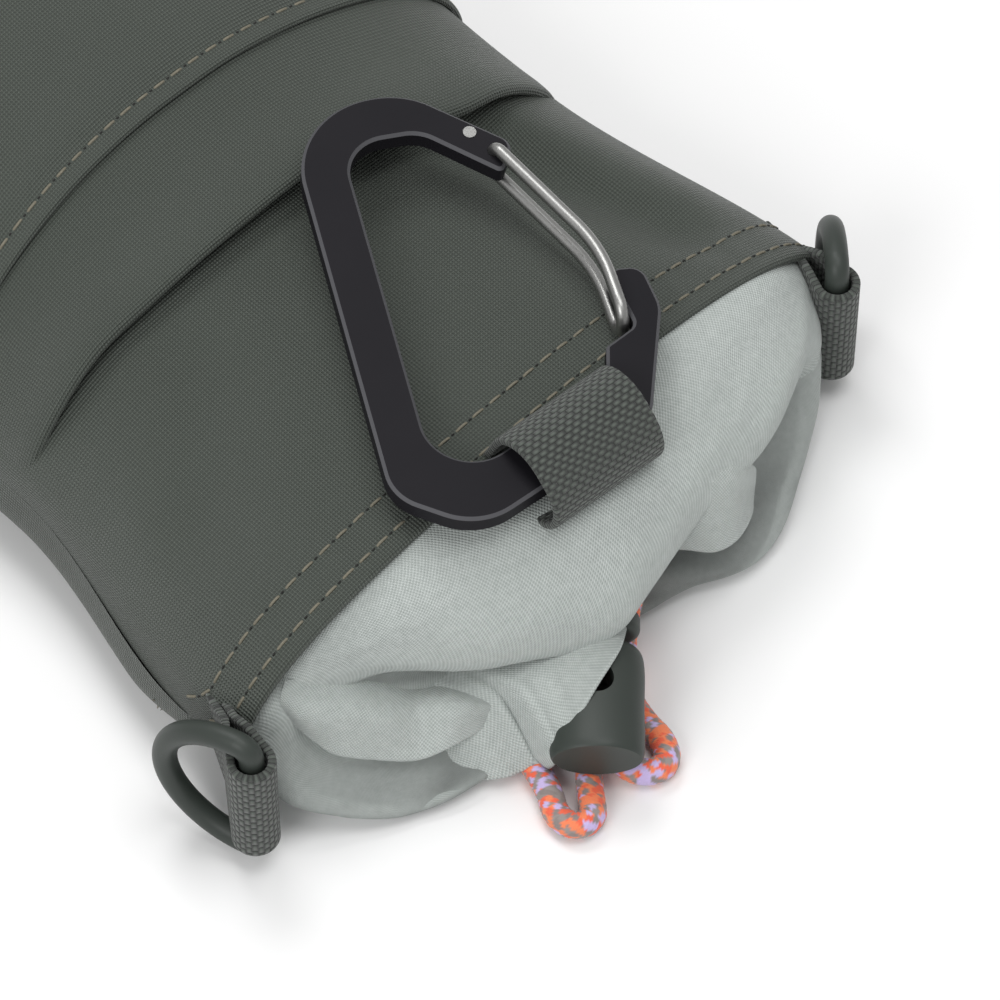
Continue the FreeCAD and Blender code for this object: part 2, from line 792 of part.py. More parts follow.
def build_drawcords():
    for label, route in (("drawcord_left", LEFT_ROUTE), ("drawcord_right", RIGHT_ROUTE)):
        radii = []
        path = route_path(route, radii)
        edge = path.Edges[0]
        direction = edge.tangentAt(edge.FirstParameter)
        profile = Part.Wire(Part.makeCircle(dim("cord_dia") / 2, mouth_point(*route[0]), direction))
        shape = path.makePipeShell([profile], True, True, 2)
        section = math.pi * (dim("cord_dia") / 2) ** 2
        print(label, "length", round(path.Length, 1), "volume over section times length",
              round(shape.Volume / section / path.Length, 3), "radii", [round(r, 1) for r in radii])
        add_shape(label, shape)


# ---------------------------------------------------------------- cord lock

LOCK_AT = (-9.25, -29.75, 10.8)
LOCK_PITCH = 5.0


def lock_placement():
    """Shoulder at the origin, barrel along +X, hole along Z."""
    pitch = math.radians(LOCK_PITCH)
    side = math.sqrt(0.5)
    along = Vector(-side * math.cos(pitch), -side * math.cos(pitch), -math.sin(pitch))
    across = Vector(side, -side, 0)
    up = along.cross(across)
    if up.z < 0:
        up = up * -1
    return Placement(mouth_point(*LOCK_AT), turned(along, up))


def build_lock_body():
    body = new_body("lock_body")
    wide, tall, length = dim("lock_width") / 2, dim("lock_height") / 2, dim("lock_length")
    sections = [
        (0.0, 0.74),
        (0.5, 0.87),
        (1.3, 0.955),
        (2.6, 1.0),
        (length / 2, 1.0),
        (length - 1.6, 1.0),
        (length - 0.6, 0.98),
        (length, 0.93),
    ]
    sketches = []
    for index, (along, share) in enumerate(sections):
        edge = Part.Ellipse(Vector(0, 0, 0), wide * share, tall * share)
        sketch = add_sketch(body, f"lock_section_{index}", [edge], "YZ_Plane")
        sketch.AttachmentOffset = Placement(Vector(0, 0, along), Rotation())
        sketches.append(sketch)
    DOC.recompute()
    barrel = body.newObject("PartDesign::AdditiveLoft", "lock_barrel")
    barrel.Profile = sketches[0]
    barrel.Sections = sketches[1:]
    DOC.recompute()
    bore = add_sketch(body, "lock_bore_circle", [circle_at(0, 0, dim("lock_bore") / 2)], "YZ_Plane")
    bind_radius(bore, 0, "dims.lock_bore / 2")
    pocket_cut(body, "lock_bore_cut", bore, "dims.lock_length - dims.lock_floor", reverse=True)
    hole = add_sketch(body, "lock_hole_circle", [circle_at(dim("lock_hole_at"), 0, dim("lock_hole_dia") / 2)])
    bind_radius(hole, 0, "dims.lock_hole_dia / 2")
    pocket_cut(body, "lock_upper_hole", hole, "dims.lock_height", reverse=True)
    slot_half, end = dim("lock_hole_dia") / 2, 2.5
    at = dim("lock_hole_at")
    slot = outline([
        (at - slot_half, -end),
        (at - slot_half, end),
        ((at, end + slot_half), (at + slot_half, end)),
        (at + slot_half, -end),
        ((at, -end - slot_half), (at - slot_half, -end)),
    ])
    mouth = add_sketch(body, "lock_slot_outline", slot)
    pocket_cut(body, "lock_lower_slot", mouth, "dims.lock_height")
    body.Placement = lock_placement()


BUTTON_SHARE = 0.93


def build_plunger():
    body = new_body("lock_plunger")
    shaft = add_sketch(body, "plunger_circle", [circle_at(0, 0, dim("plunger_dia") / 2)], "YZ_Plane")
    bind_radius(shaft, 0, "dims.plunger_dia / 2")
    shaft.setExpression("AttachmentOffset.Base.z", "-dims.plunger_travel - dims.button_gap")
    DOC.recompute()
    pad(body, "plunger_shaft", shaft, "dims.plunger_travel + dims.button_gap + dims.plunger_reach")
    wide, tall = BUTTON_SHARE * dim("lock_width") / 2, BUTTON_SHARE * dim("lock_height") / 2
    head = add_sketch(body, "button_oval", [Part.Ellipse(Vector(0, 0, 0), wide, tall)], "YZ_Plane")
    head.setExpression("AttachmentOffset.Base.z", "-dims.plunger_travel - dims.button_gap - dims.button_height")
    DOC.recompute()
    pad(body, "plunger_button", head, "dims.button_height")
    rims = [
        f"Edge{i}" for i, e in enumerate(body.Tip.Shape.Edges, 1)
        if e.Closed and isinstance(e.Curve, Part.Ellipse)
    ]
    fillet = body.newObject("PartDesign::Fillet", "button_rims")
    fillet.Base = (DOC.getObject("plunger_button"), rims)
    fillet.Radius = 1.2
    DOC.recompute()
    hole = add_sketch(body, "plunger_hole_circle", [
        circle_at(dim("lock_hole_at") - dim("plunger_travel") / 2, 0, dim("lock_hole_dia") / 2 - 0.2)
    ])
    pocket_cut(body, "plunger_hole", hole, "dims.lock_height * 2", midplane=True)
    body.Placement = lock_placement()


def build_spring():
    wire = dim("spring_wire")
    start = dim("plunger_reach") + wire / 2 + 0.05
    stop = dim("lock_length") - dim("lock_floor") - wire / 2 - 0.05
    radius = dim("lock_bore") / 2 - wire / 2 - 0.25
    turns = 3
    helix = Part.makeHelix((stop - start) / turns, stop - start, radius)
    profile = Part.Wire(Part.makeCircle(wire / 2, Vector(radius, 0, 0), Y_AXIS))
    coil = Part.Wire(helix.Edges).makePipeShell([profile], True, True)
    spring = add_shape("lock_spring", coil)
    lay = Placement(Vector(start, 0, 0), Rotation(Y_AXIS, 90))
    spring.Placement = lock_placement().multiply(lay)


# ---------------------------------------------------------------- build and write


def build_all():
    build_shell_panels()
    build_hem_band()
    build_inner_sleeves()
    build_side_seams()
    build_pocket()
    build_base()
    build_loops()
    build_rings()
    build_frame()
    build_rivet()
    build_gate()
    build_collar()
    build_channel()
    build_drawcords()
    build_lock_body()
    build_plunger()
    build_spring()
    DOC.recompute()


def subparts():
    for item in DOC.Objects:
        if item.TypeId == "PartDesign::Body" or item.TypeId.startswith("Part::"):
            yield item


def check_document():
    for item in DOC.Objects:
        if "Invalid" in item.State or "Error" in item.State:
            raise RuntimeError(f"{item.Label} failed: {item.State}")
    for item in subparts():
        shape = item.Shape
        if shape.isNull() or not shape.isValid() or not shape.Solids:
            raise RuntimeError(f"{item.Label} has no valid solid")


def write_parts():
    os.makedirs("parts", exist_ok=True)
    for item in subparts():
        item.Shape.exportStep(f"parts/{item.Label}.step")


build_all()
check_document()
write_parts()
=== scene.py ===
"""Looks of the drawstring bottle pouch: sewn fabric, gathered collar, webbing, cord and hardware.

Shapes are worked out in millimetres from the hem line: x across, d from the hem towards the base
(negative past the mouth), z up. spot() turns them into the frame's metres.
"""
import math
import random

import bpy
from mathutils import Matrix, Vector, noise


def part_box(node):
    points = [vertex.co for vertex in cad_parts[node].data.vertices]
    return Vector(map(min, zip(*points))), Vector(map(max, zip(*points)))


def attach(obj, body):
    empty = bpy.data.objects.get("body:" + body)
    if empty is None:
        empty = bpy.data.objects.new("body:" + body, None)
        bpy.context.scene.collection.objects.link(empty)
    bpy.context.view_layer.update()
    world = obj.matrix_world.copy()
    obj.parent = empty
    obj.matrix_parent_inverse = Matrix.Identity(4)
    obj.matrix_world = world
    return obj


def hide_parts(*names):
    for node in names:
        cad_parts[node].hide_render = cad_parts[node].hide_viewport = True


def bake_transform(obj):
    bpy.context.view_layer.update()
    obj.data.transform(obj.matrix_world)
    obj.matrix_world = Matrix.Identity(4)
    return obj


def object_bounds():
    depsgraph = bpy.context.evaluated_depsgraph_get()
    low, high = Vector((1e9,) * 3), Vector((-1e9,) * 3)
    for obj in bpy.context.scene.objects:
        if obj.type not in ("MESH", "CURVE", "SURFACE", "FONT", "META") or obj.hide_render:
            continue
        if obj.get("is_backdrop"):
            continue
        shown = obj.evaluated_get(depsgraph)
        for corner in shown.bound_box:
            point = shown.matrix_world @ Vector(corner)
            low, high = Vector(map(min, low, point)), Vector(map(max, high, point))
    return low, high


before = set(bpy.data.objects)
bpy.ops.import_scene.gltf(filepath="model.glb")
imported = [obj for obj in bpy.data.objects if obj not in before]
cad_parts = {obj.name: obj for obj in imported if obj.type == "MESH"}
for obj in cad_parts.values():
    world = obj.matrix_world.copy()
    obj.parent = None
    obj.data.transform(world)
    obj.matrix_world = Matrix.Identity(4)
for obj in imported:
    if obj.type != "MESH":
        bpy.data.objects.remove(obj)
CAD_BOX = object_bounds()
RNG = random.Random(7)

MM = 0.001
MOUTH_Y = -80.5
BODY_LENGTH = 190.0
POCKET_END_LIFT = 2.6
POCKET_STAND_OUT = 0.7
POCKET_STITCH = 2.2
HEM_BOW = 8.8
HEM_CORNER = 1.6
LOOP_AXIS = Vector((0.0, -15.7, 39.05))
LOOP_SKEW = math.radians(-4.8)
LOOP_PITCH = math.radians(32)
LOOP_INSIDE = 5.2
# side loops: side, where the ring's bar stands, and how far the strap turns outwards in degrees
SIDE_LOOPS = {
    "left": (-1, (-63.2, -15.5, 15.2), 23),
    "right": (1, (54.8, -16.0, 15.2), -8),
}
SIDE_INSIDE = 2.3
WEB_WALL = 1.2
WEB_WIDTH = 20.0
WEB_NECK = 9.0
CORD_DIA = 4.0
FLOOR_GAP = 0.05
PANEL_COLUMNS = 91


def spot(x, d, z):
    """A point given from the hem line, in the frame's metres."""
    return Vector((x, MOUTH_Y + d, z)) * MM


# ---------------------------------------------------------------- node graphs


class Graph:
    """Short names for building one material's nodes."""

    def __init__(self, name):
        self.material = bpy.data.materials.new(name)
        self.material.use_nodes = True
        self.tree = self.material.node_tree
        self.shader = self.tree.nodes["Principled BSDF"]

    def node(self, kind, **settings):
        made = self.tree.nodes.new(kind)
        for key, value in settings.items():
            setattr(made, key, value)
        return made

    def put(self, value, socket):
        if hasattr(value, "is_output"):
            self.tree.links.new(value, socket)
        else:
            socket.default_value = value

    def math(self, operation, first, second=0.0, third=0.0):
        made = self.node("ShaderNodeMath", operation=operation)
        for value, socket in zip((first, second, third), made.inputs):
            self.put(value, socket)
        return made.outputs[0]

    def noise(self, scale, detail=2.0, where=None, roughness=0.5):
        made = self.node("ShaderNodeTexNoise")
        made.inputs["Scale"].default_value = scale
        made.inputs["Detail"].default_value = detail
        made.inputs["Roughness"].default_value = roughness
        self.put(where or self.place(), made.inputs["Vector"])
        return made.outputs["Fac"]

    def place(self):
        """Object coordinates in millimetres."""
        scaled = self.node("ShaderNodeVectorMath", operation="SCALE")
        self.put(self.node("ShaderNodeTexCoord").outputs["Object"], scaled.inputs[0])
        scaled.inputs["Scale"].default_value = 1 / MM
        return scaled.outputs[0]

    def weave_uv(self):
        """Across and along the cloth in millimetres."""
        split = self.node("ShaderNodeSeparateXYZ")
        self.put(self.node("ShaderNodeUVMap", uv_map="weave").outputs[0], split.inputs[0])
        return split.outputs[0], split.outputs[1]

    def wave(self, value, pitch):
        return self.math("SINE", self.math("MULTIPLY", value, 2 * math.pi / pitch))

    def ramp(self, value, stops):
        made = self.node("ShaderNodeValToRGB")
        self.put(value, made.inputs[0])
        elements = made.color_ramp.elements
        while len(elements) < len(stops):
            elements.new(0.5)
        for element, (position, colour) in zip(elements, stops):
            element.position = position
            element.color = (*colour, 1)
        return made.outputs[0]

    def mix(self, share, first, second):
        made = self.node("ShaderNodeMix", data_type="RGBA")
        self.put(share, made.inputs[0])
        for value, socket in ((first, made.inputs[6]), (second, made.inputs[7])):
            self.put(value if hasattr(value, "is_output") else (*value, 1), socket)
        return made.outputs[2]

    def bump(self, height, distance, below=None):
        made = self.node("ShaderNodeBump")
        made.inputs["Distance"].default_value = distance * MM
        self.put(height, made.inputs["Height"])
        if below:
            self.put(below, made.inputs["Normal"])
        return made.outputs[0]

    def finish(self, colour=None, rough=None, normal=None, **fixed):
        for key, value in (("Base Color", colour), ("Roughness", rough), ("Normal", normal)):
            if value is not None:
                flat = isinstance(value, tuple)
                self.put((*value, 1) if flat else value, self.shader.inputs[key])
        for key, value in fixed.items():
            self.shader.inputs[key.replace("_", " ").title().replace("Ior", "IOR")].default_value = value
        return self.material


# the carabiner lies tipped up a little towards the body
PLATE_TILT = math.radians(6.4)
# the plate's normal also picks out the chamfers, which the carabiner's material paints with a highlight
PLATE_NORMAL = (0, -math.sin(PLATE_TILT), math.cos(PLATE_TILT))


def coated_fabric():
    g = Graph("coated_fabric")
    across, along = g.weave_uv()
    lean, counter = g.math("ADD", across, along), g.math("SUBTRACT", across, along)
    pitch = 1.05
    knots = g.math("MULTIPLY", g.wave(lean, pitch), g.wave(counter, pitch))
    raised = g.math("MULTIPLY_ADD", knots, 0.5, 0.5)
    cloud = g.noise(0.06, 3)
    speck = g.noise(3.0, 2)
    # painted shade: the emboss's hollows get the darker greens and its raised knots the lighter green,
    # standing for light and shade on the relief; the cloud noise is the fabric's own uneven tone
    hollow_shade_tone = g.mix(cloud, (0.030, 0.036, 0.029), (0.042, 0.050, 0.041))
    colour = g.mix(g.math("MULTIPLY", g.math("POWER", raised, 1.5), 0.85), hollow_shade_tone, (0.092, 0.108, 0.090))
    rough = g.math("MULTIPLY_ADD", speck, 0.10, g.math("MULTIPLY_ADD", raised, -0.10, 0.50))
    under = g.bump(cloud, 0.6)
    normal = g.bump(g.math("MULTIPLY_ADD", speck, 0.15, raised), 0.26, under)
    return g.finish(colour, rough, normal, sheen_weight=0.10, specular_ior_level=0.45)


def sage_weave(name, low, high):
    g = Graph(name)
    across, along = g.weave_uv()
    pitch = 0.56
    weft, warp = g.wave(across, pitch), g.wave(along, pitch)
    cross = g.math("MULTIPLY", weft, warp)
    threads = g.math("MULTIPLY_ADD", cross, 0.5, 0.5)
    slub = g.noise(0.9, 2)
    cloud = g.noise(0.05, 3)
    # painted highlight: the raised thread cells, also used for the bump, are coloured towards the light
    # tone to stand for light on the weave; the slub and cloud noise are the cloth's own uneven tone
    tone = g.math("MULTIPLY_ADD", slub, 0.35, g.math("MULTIPLY", threads, 0.55))
    colour = g.mix(tone, low, high)
    colour = g.mix(g.math("MULTIPLY", cloud, 0.25), colour, low)
    rough = g.math("MULTIPLY_ADD", slub, 0.15, 0.72)
    normal = g.bump(threads, 0.13)
    return g.finish(colour, rough, normal, sheen_weight=0.15)


def webbing_weave():
    g = Graph("webbing_weave")
    across, along = g.weave_uv()
    row_pitch, cell_pitch = 0.72, 1.5
    row = g.math("FLOOR", g.math("DIVIDE", along, row_pitch))
    shift = g.math("MULTIPLY", g.math("MODULO", row, 2.0), 0.5)
    cell = g.math("FRACT", g.math("ADD", g.math("DIVIDE", across, cell_pitch), shift))
    hump = g.math("SINE", g.math("MULTIPLY", cell, math.pi))
    rib = g.math("ABSOLUTE", g.wave(along, 2 * row_pitch))
    height = g.math("MULTIPLY", g.math("POWER", hump, 0.6), g.math("POWER", rib, 0.5))
    fibre = g.noise(2.2, 3)
    # painted shade: the weave's low parts between the humps and ribs go almost black, and only the raised
    # parts show the webbing's green; the fibre noise is the yarn's own uneven tone
    colour = g.mix(g.math("POWER", height, 2.0), (0.004, 0.005, 0.0045), (0.088, 0.103, 0.088))
    colour = g.mix(g.math("MULTIPLY", fibre, 0.3), colour, (0.095, 0.108, 0.095))
    normal = g.bump(g.math("MULTIPLY_ADD", fibre, 0.2, height), 0.32)
    return g.finish(colour, 0.78, normal, sheen_weight=0.2)


def thread_material():
    g = Graph("thread")
    twist = g.noise(2.5, 2)
    colour = g.mix(twist, (0.105, 0.098, 0.070), (0.22, 0.20, 0.15))
    return g.finish(colour, 0.7, g.bump(twist, 0.1))


def hole_shade_material():
    # painted shade: near-black for the shade inside a needle hole, where the thread goes into the cloth
    g = Graph("needle_hole_shade")
    return g.finish(g.mix(g.noise(2.0), (0.012, 0.012, 0.011), (0.02, 0.02, 0.018)), 0.9)


def cord_material():
    g = Graph("cord_weave")
    flecks = g.node("ShaderNodeVertexColor", layer_name="flecks").outputs[0]
    fibre = g.noise(5.0, 3)
    colour = g.mix(g.math("MULTIPLY", fibre, 0.35), flecks, (0.30, 0.26, 0.26))
    return g.finish(colour, 0.75, g.bump(fibre, 0.08), sheen_weight=0.25)


def plastic_material():
    g = Graph("trim_plastic")
    grain, cloud = g.noise(6.0, 3), g.noise(0.12, 2)
    colour = g.mix(cloud, (0.031, 0.038, 0.033), (0.040, 0.048, 0.042))
    rough = g.math("MULTIPLY_ADD", grain, 0.12, 0.40)
    return g.finish(colour, rough, g.bump(grain, 0.012), specular_ior_level=0.35)


def anodised_painted_edge_material():
    g = Graph("anodised")
    grain, cloud = g.noise(9.0, 4), g.noise(0.08, 2)
    dark = g.mix(cloud, (0.009, 0.0085, 0.011), (0.014, 0.013, 0.016))
    # painted highlight: faces tilted about 45 degrees from the plate, the chamfers, are coloured light grey
    # to stand for the sheen of light along the carabiner's edges; the near-black with its cloud is the
    # frame's own anodised colour
    tilt = g.node("ShaderNodeVectorMath", operation="DOT_PRODUCT")
    g.put(g.node("ShaderNodeTexCoord").outputs["Normal"], tilt.inputs[0])
    tilt.inputs[1].default_value = PLATE_NORMAL
    off = g.math("ABSOLUTE", g.math("SUBTRACT", tilt.outputs["Value"], math.sqrt(0.5)))
    edge = g.ramp(off, [(0.10, (1, 1, 1)), (0.24, (0, 0, 0))])
    colour = g.mix(edge, dark, (0.085, 0.085, 0.092))
    rough = g.math("MULTIPLY_ADD", grain, 0.14, g.math("MULTIPLY_ADD", cloud, 0.08, 0.42))
    return g.finish(colour, rough, g.bump(grain, 0.01), metallic=0.0, specular_ior_level=0.12)


def steel_material():
    g = Graph("gate_steel")
    draw = g.noise(4.0, 3)
    colour = g.mix(draw, (0.30, 0.30, 0.29), (0.44, 0.44, 0.43))
    return g.finish(colour, g.math("MULTIPLY_ADD", draw, 0.12, 0.32), g.bump(draw, 0.008), metallic=1.0)


COATED = coated_fabric()
SAGE_CLOTH = sage_weave("sage_weave", (0.27, 0.303, 0.285), (0.69, 0.73, 0.71))
GREY_CLOTH = sage_weave("lining_weave", (0.30, 0.31, 0.31), (0.44, 0.45, 0.45))
WEBBING = webbing_weave()
THREAD = thread_material()
HOLE_SHADE = hole_shade_material()
CORD = cord_material()
PLASTIC = plastic_material()
ANODISED_PAINTED_EDGE = anodised_painted_edge_material()
STEEL = steel_material()


# ---------------------------------------------------------------- mesh helpers


def running(points):
    """Distances along a run of points."""
    total, marks = 0.0, [0.0]
    for before, after in zip(points, points[1:]):
        total += (after - before).length
        marks.append(total)
    return marks


def add_object(name, mesh, material, body="bag"):
    piece = bpy.data.objects.new(name, mesh)
    bpy.context.scene.collection.objects.link(piece)
    mesh.materials.append(material)
    for face in mesh.polygons:
        face.use_smooth = True
    if body:
        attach(piece, body)
    return piece


def grid_mesh(name, rows, closed=False, flip=False):
    """A sheet from rows of points, with a weave map in millimetres."""
    count, width = len(rows), len(rows[0])
    verts = [point for row in rows for point in row]
    faces, corners = [], []
    last = width if closed else width - 1
    middle = width // 2
    row_marks = [running(row + [row[0]] if closed else row) for row in rows]
    if not closed:
        row_marks = [[mark - marks[middle] for mark in marks] for marks in row_marks]
    along = running([row[middle] for row in rows])
    for i in range(count - 1):
        for j in range(last):
            k = (j + 1) % width
            quad = [(i, j, j), (i, k, j + 1), (i + 1, k, j + 1), (i + 1, j, j)]
            if flip:
                quad.reverse()
            faces.append([r * width + c for r, c, _ in quad])
            corners += [(row_marks[r][m] / MM, along[r] / MM) for r, _, m in quad]
    mesh = bpy.data.meshes.new(name)
    mesh.from_pydata(verts, [], faces)
    layer = mesh.uv_layers.new(name="weave")
    for loop, uv in zip(layer.data, corners):
        loop.uv = uv
    mesh.update()
    return mesh


def thicken(piece, wall, offset=-1.0):
    skin = piece.modifiers.new("wall", "SOLIDIFY")
    skin.thickness = wall * MM
    skin.offset = offset
    skin.use_even_offset = True


def subdivide(piece):
    smooth = piece.modifiers.new("smooth", "SUBSURF")
    smooth.levels = smooth.render_levels = 1


def eased(value, stops):
    """Between the stops (value, result), with a gentle start and end at each."""
    if value <= stops[0][0]:
        return stops[0][1]
    for (v0, a), (v1, b) in zip(stops, stops[1:]):
        if value <= v1:
            share = (value - v0) / (v1 - v0)
            return a + (b - a) * share * share * (3 - 2 * share)
    return stops[-1][1]


def ramp01(value, low, high):
    """0 below low and 1 above high, eased between."""
    share = min(1.0, max(0.0, (value - low) / (high - low)))
    return share * share * (3 - 2 * share)


def bell(value, centre, width):
    return math.exp(-((value - centre) / width) ** 2)


def rough(x, d, z, scale, seed=0.0):
    """Smooth unevenness about zero, with humps about scale millimetres apart."""
    return noise.noise(Vector((x / scale + seed, d / scale - seed, z / scale + 2 * seed)))


# ---------------------------------------------------------------- body fabric

FRONT_POWER = 2.4
BACK_POWER = 3.2


def half_width(d):
    """From the middle to a side seam."""
    return eased(d, [(0, 60.0), (45, 52.5), (150, 53.0), (BODY_LENGTH, 50.0)])


def crown(d):
    """The height of the front panel's middle."""
    return eased(d, [(0, 36.2), (50, 36.0), (120, 41.0), (BODY_LENGTH, 41.0)])


def seam_z(d):
    """The height of the side seams."""
    return eased(d, [(0, 14.5), (60, 17.5), (BODY_LENGTH, 20.5)])


def bend(value, power):
    """A cosine or sine made squarer for a superellipse of this power."""
    return math.copysign(abs(value) ** (2 / power), value)


def bow(share, d):
    """The hem's shift along d: back at a seam (share 0), out past the hem line in mid panel (share 1)."""
    return (HEM_CORNER - (HEM_CORNER + HEM_BOW) * share) * (1 - ramp01(d, 0, 75))


def crease(x, d, start, end, width):
    """Signed distance across a crease line and how strongly it acts, 0 to 1."""
    ax, ad = start
    ux, ud = end[0] - ax, end[1] - ad
    length = math.hypot(ux, ud)
    ux, ud = ux / length, ud / length
    along = ((x - ax) * ux + (d - ad) * ud) / length
    side = (x - ax) * ud - (d - ad) * ux
    return side / width, ramp01(along, -0.15, 0.2) * (1 - ramp01(along, 0.8, 1.15))


# creases of the front panel: where each starts and ends, as x and d, and its width
RIGHT_CREASE = ((35, 44), (49, 10), 6.0)
LOWER_CREASE = ((36, 56), (45, 26), 6.5)
LEFT_CREASE = ((-30, 46), (-55, 26), 7.0)


def front_relief(x, d):
    """Soft unevenness of the front panel in millimetres."""
    swell = 0.7 * rough(x, d, 0, 34, 3.1) + 0.25 * rough(x, d, 0, 12, 8.4)
    side, share = crease(x, d, *RIGHT_CREASE)
    fold = share * (1.6 * math.exp(-(side + 0.5) ** 2) - 3.2 * math.exp(-((side - 0.9) / 0.8) ** 2))
    dent, hold = crease(x, d, *LOWER_CREASE)
    fold -= hold * 1.5 * math.exp(-((dent - 1.0) / 1.1) ** 2)
    left, strength = crease(x, d, *LEFT_CREASE)
    fold += strength * (0.9 * math.exp(-left ** 2) - 1.2 * math.exp(-((left + 1.4) / 0.9) ** 2))
    edge = ramp01(half_width(d) - abs(x), 0, 8)
    pucker = 0.14 * math.sin(x * 0.85 + 2 * rough(x, d, 0, 10)) * bell(d, 5, 4)
    return (swell + fold) * edge * ramp01(d, -2, 12) + pucker


def front_point(share, d, inset=0.0):
    """The front panel: share runs from 0 at the left seam to 1 at the right."""
    angle = math.pi * (1 - share)
    wide = half_width(d) - inset
    x = wide * bend(math.cos(angle), FRONT_POWER)
    rise = bend(math.sin(angle), FRONT_POWER)
    z = seam_z(d) + rise * (crown(d) - inset - seam_z(d))
    z += front_relief(x, d) * rise
    return spot(x, d + bow(ramp01(rise, -0.15, 0.35), d), z)


def back_point(share, d, inset=0.0):
    """The back panel, which swells out past the seams before it turns under."""
    angle = math.pi * share
    wide = half_width(d) + 3.2 * ramp01(d, -4, 14) - inset
    low = seam_z(d)
    fall = bend(math.sin(angle), BACK_POWER)
    x = -wide * bend(math.cos(angle), BACK_POWER)
    shoulder = (1 - abs(math.sin(angle))) ** 3
    x *= 1 - shoulder * (wide - half_width(d) + inset) / wide
    z = low * (1 - fall) + inset * fall
    z += 0.5 * (1 + rough(x, d, z, 20, 5.5)) * (1 - fall ** 3)
    return spot(x, d + bow(max(0.0, 1 - (x / 60.0) ** 2), d), max(z, FLOOR_GAP))


def spread(count, squeeze=0.35):
    """Shares from 0 to 1, closer together near both ends."""
    raw = [i / (count - 1) for i in range(count)]
    return [(1 - squeeze) * t + squeeze * (1 - math.cos(math.pi * t)) / 2 for t in raw]


HEM_FOLD = 1.5
HEM_ROWS = 10
ROW_STEP = 1.3


def hem_and_body_places():
    """Where the sheet runs: up inside the hem, round its folded edge and on to the base."""
    inside = [(HEM_ROWS * ROW_STEP - i * ROW_STEP, HEM_FOLD) for i in range(HEM_ROWS)]
    fold = [
        (-HEM_FOLD / 2 * math.sin(math.pi * i / 6), HEM_FOLD * (1 + math.cos(math.pi * i / 6)) / 2)
        for i in range(7)
    ]
    outside = [(ROW_STEP * (i + 1), 0.0) for i in range(int(BODY_LENGTH / ROW_STEP))]
    return inside + fold + outside


def panel(name, nodes, point, flip):
    shares = spread(PANEL_COLUMNS)
    rows = [[point(share, d, inset) for share in shares] for d, inset in hem_and_body_places()]
    piece = add_object(name, grid_mesh(name, rows, flip=flip), COATED)
    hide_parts(*nodes)
    return piece


front = panel("front_fabric", ["front_panel", "hem_band", "side_seam_left"], front_point, False)
back = panel("back_fabric", ["back_panel", "side_seam_right"], back_point, False)


def oval_rows(rings, spokes, place):
    """Rings of points from the middle out; place(share, angle) gives each point."""
    angles = [2 * math.pi * i / spokes for i in range(spokes)]
    return [[place(ring / (rings - 1), angle) for angle in angles] for ring in range(rings)]


def base_fabric():
    """The oval end, flat in the middle, with its rim turned slightly in."""
    low = seam_z(BODY_LENGTH)
    top = crown(BODY_LENGTH) + POCKET_END_LIFT + 1.5
    wide = half_width(BODY_LENGTH) + POCKET_STAND_OUT

    def place(share, angle):
        upper = angle <= math.pi
        power = FRONT_POWER if upper else BACK_POWER
        tall = (top if upper else 2 * low) - low
        x = wide * bend(math.cos(angle), power) * share
        z = low + tall * bend(math.sin(angle), power) * share
        return spot(x, BODY_LENGTH + 1.2 - 0.9 * share ** 6, max(z, FLOOR_GAP))

    mesh = grid_mesh("base_fabric", oval_rows(9, 96, place), closed=True)
    piece = add_object("base_fabric", mesh, COATED)
    thicken(piece, 0.8)
    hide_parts("base_panel")
    return piece


base = base_fabric()

SLEEVE_START = 14
SLEEVE_END = BODY_LENGTH - 5
SLEEVE_ROWS = 48


def sleeve(name, node, inset, wall):
    """One inner layer of the wall, all round, from inside the hem to near the base."""
    shares = spread(61)[:-1]
    rows = []
    for i in range(SLEEVE_ROWS):
        d = SLEEVE_START + (SLEEVE_END - SLEEVE_START) * i / (SLEEVE_ROWS - 1)
        upper = [front_point(share, d, inset) for share in shares]
        lower = [back_point(1 - share, d, inset) for share in shares]
        rows.append(upper + lower)
    piece = add_object(name, grid_mesh(name, rows, closed=True), GREY_CLOTH)
    thicken(piece, wall)
    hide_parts(node)
    return piece


def base_layer(name, node):
    """One inner layer of the oval end, filling its CAD piece's thickness."""
    low, high = (Vector(corner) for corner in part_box(node))
    middle = (low + high) / 2
    half = (high - low) / 2
    power = 2.2

    def place(share, angle):
        x = 0.95 * half.x * bend(math.cos(angle), power) * share
        z = 0.93 * half.z * bend(math.sin(angle), power) * share
        return Vector((middle.x + x, high.y, middle.z + z))

    mesh = grid_mesh(name, oval_rows(7, 72, place), closed=True)
    piece = add_object(name, mesh, GREY_CLOTH)
    thicken(piece, 2 * half.y / MM)
    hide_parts(node)
    return piece


base_pad = base_layer("base_pad", "base_foam")
base_lining = base_layer("base_lining_cloth", "base_lining")
foam = sleeve("foam_layer", "foam_sleeve", 1.4, 1.8)
lining = sleeve("lining_layer", "lining", 3.6, 0.5)

# ---------------------------------------------------------------- pocket


def pocket_lift(d):
    """How far the pocket stands up from the front panel."""
    return eased(d, [(45, 5.2), (85, 9.0), (BODY_LENGTH - 35, 9.0), (BODY_LENGTH, POCKET_END_LIFT)])


def band_edge(x):
    """Where the pocket's free edge runs."""
    return 45.5 - 6.5 * ramp01(x, 8, 36) - 1.2 * ramp01(-x, 30, 52)


def lap_edge(x):
    """Where the pocket's panel laps over the band."""
    return 66.5 - 4.5 * (abs(x) / 45) ** 2


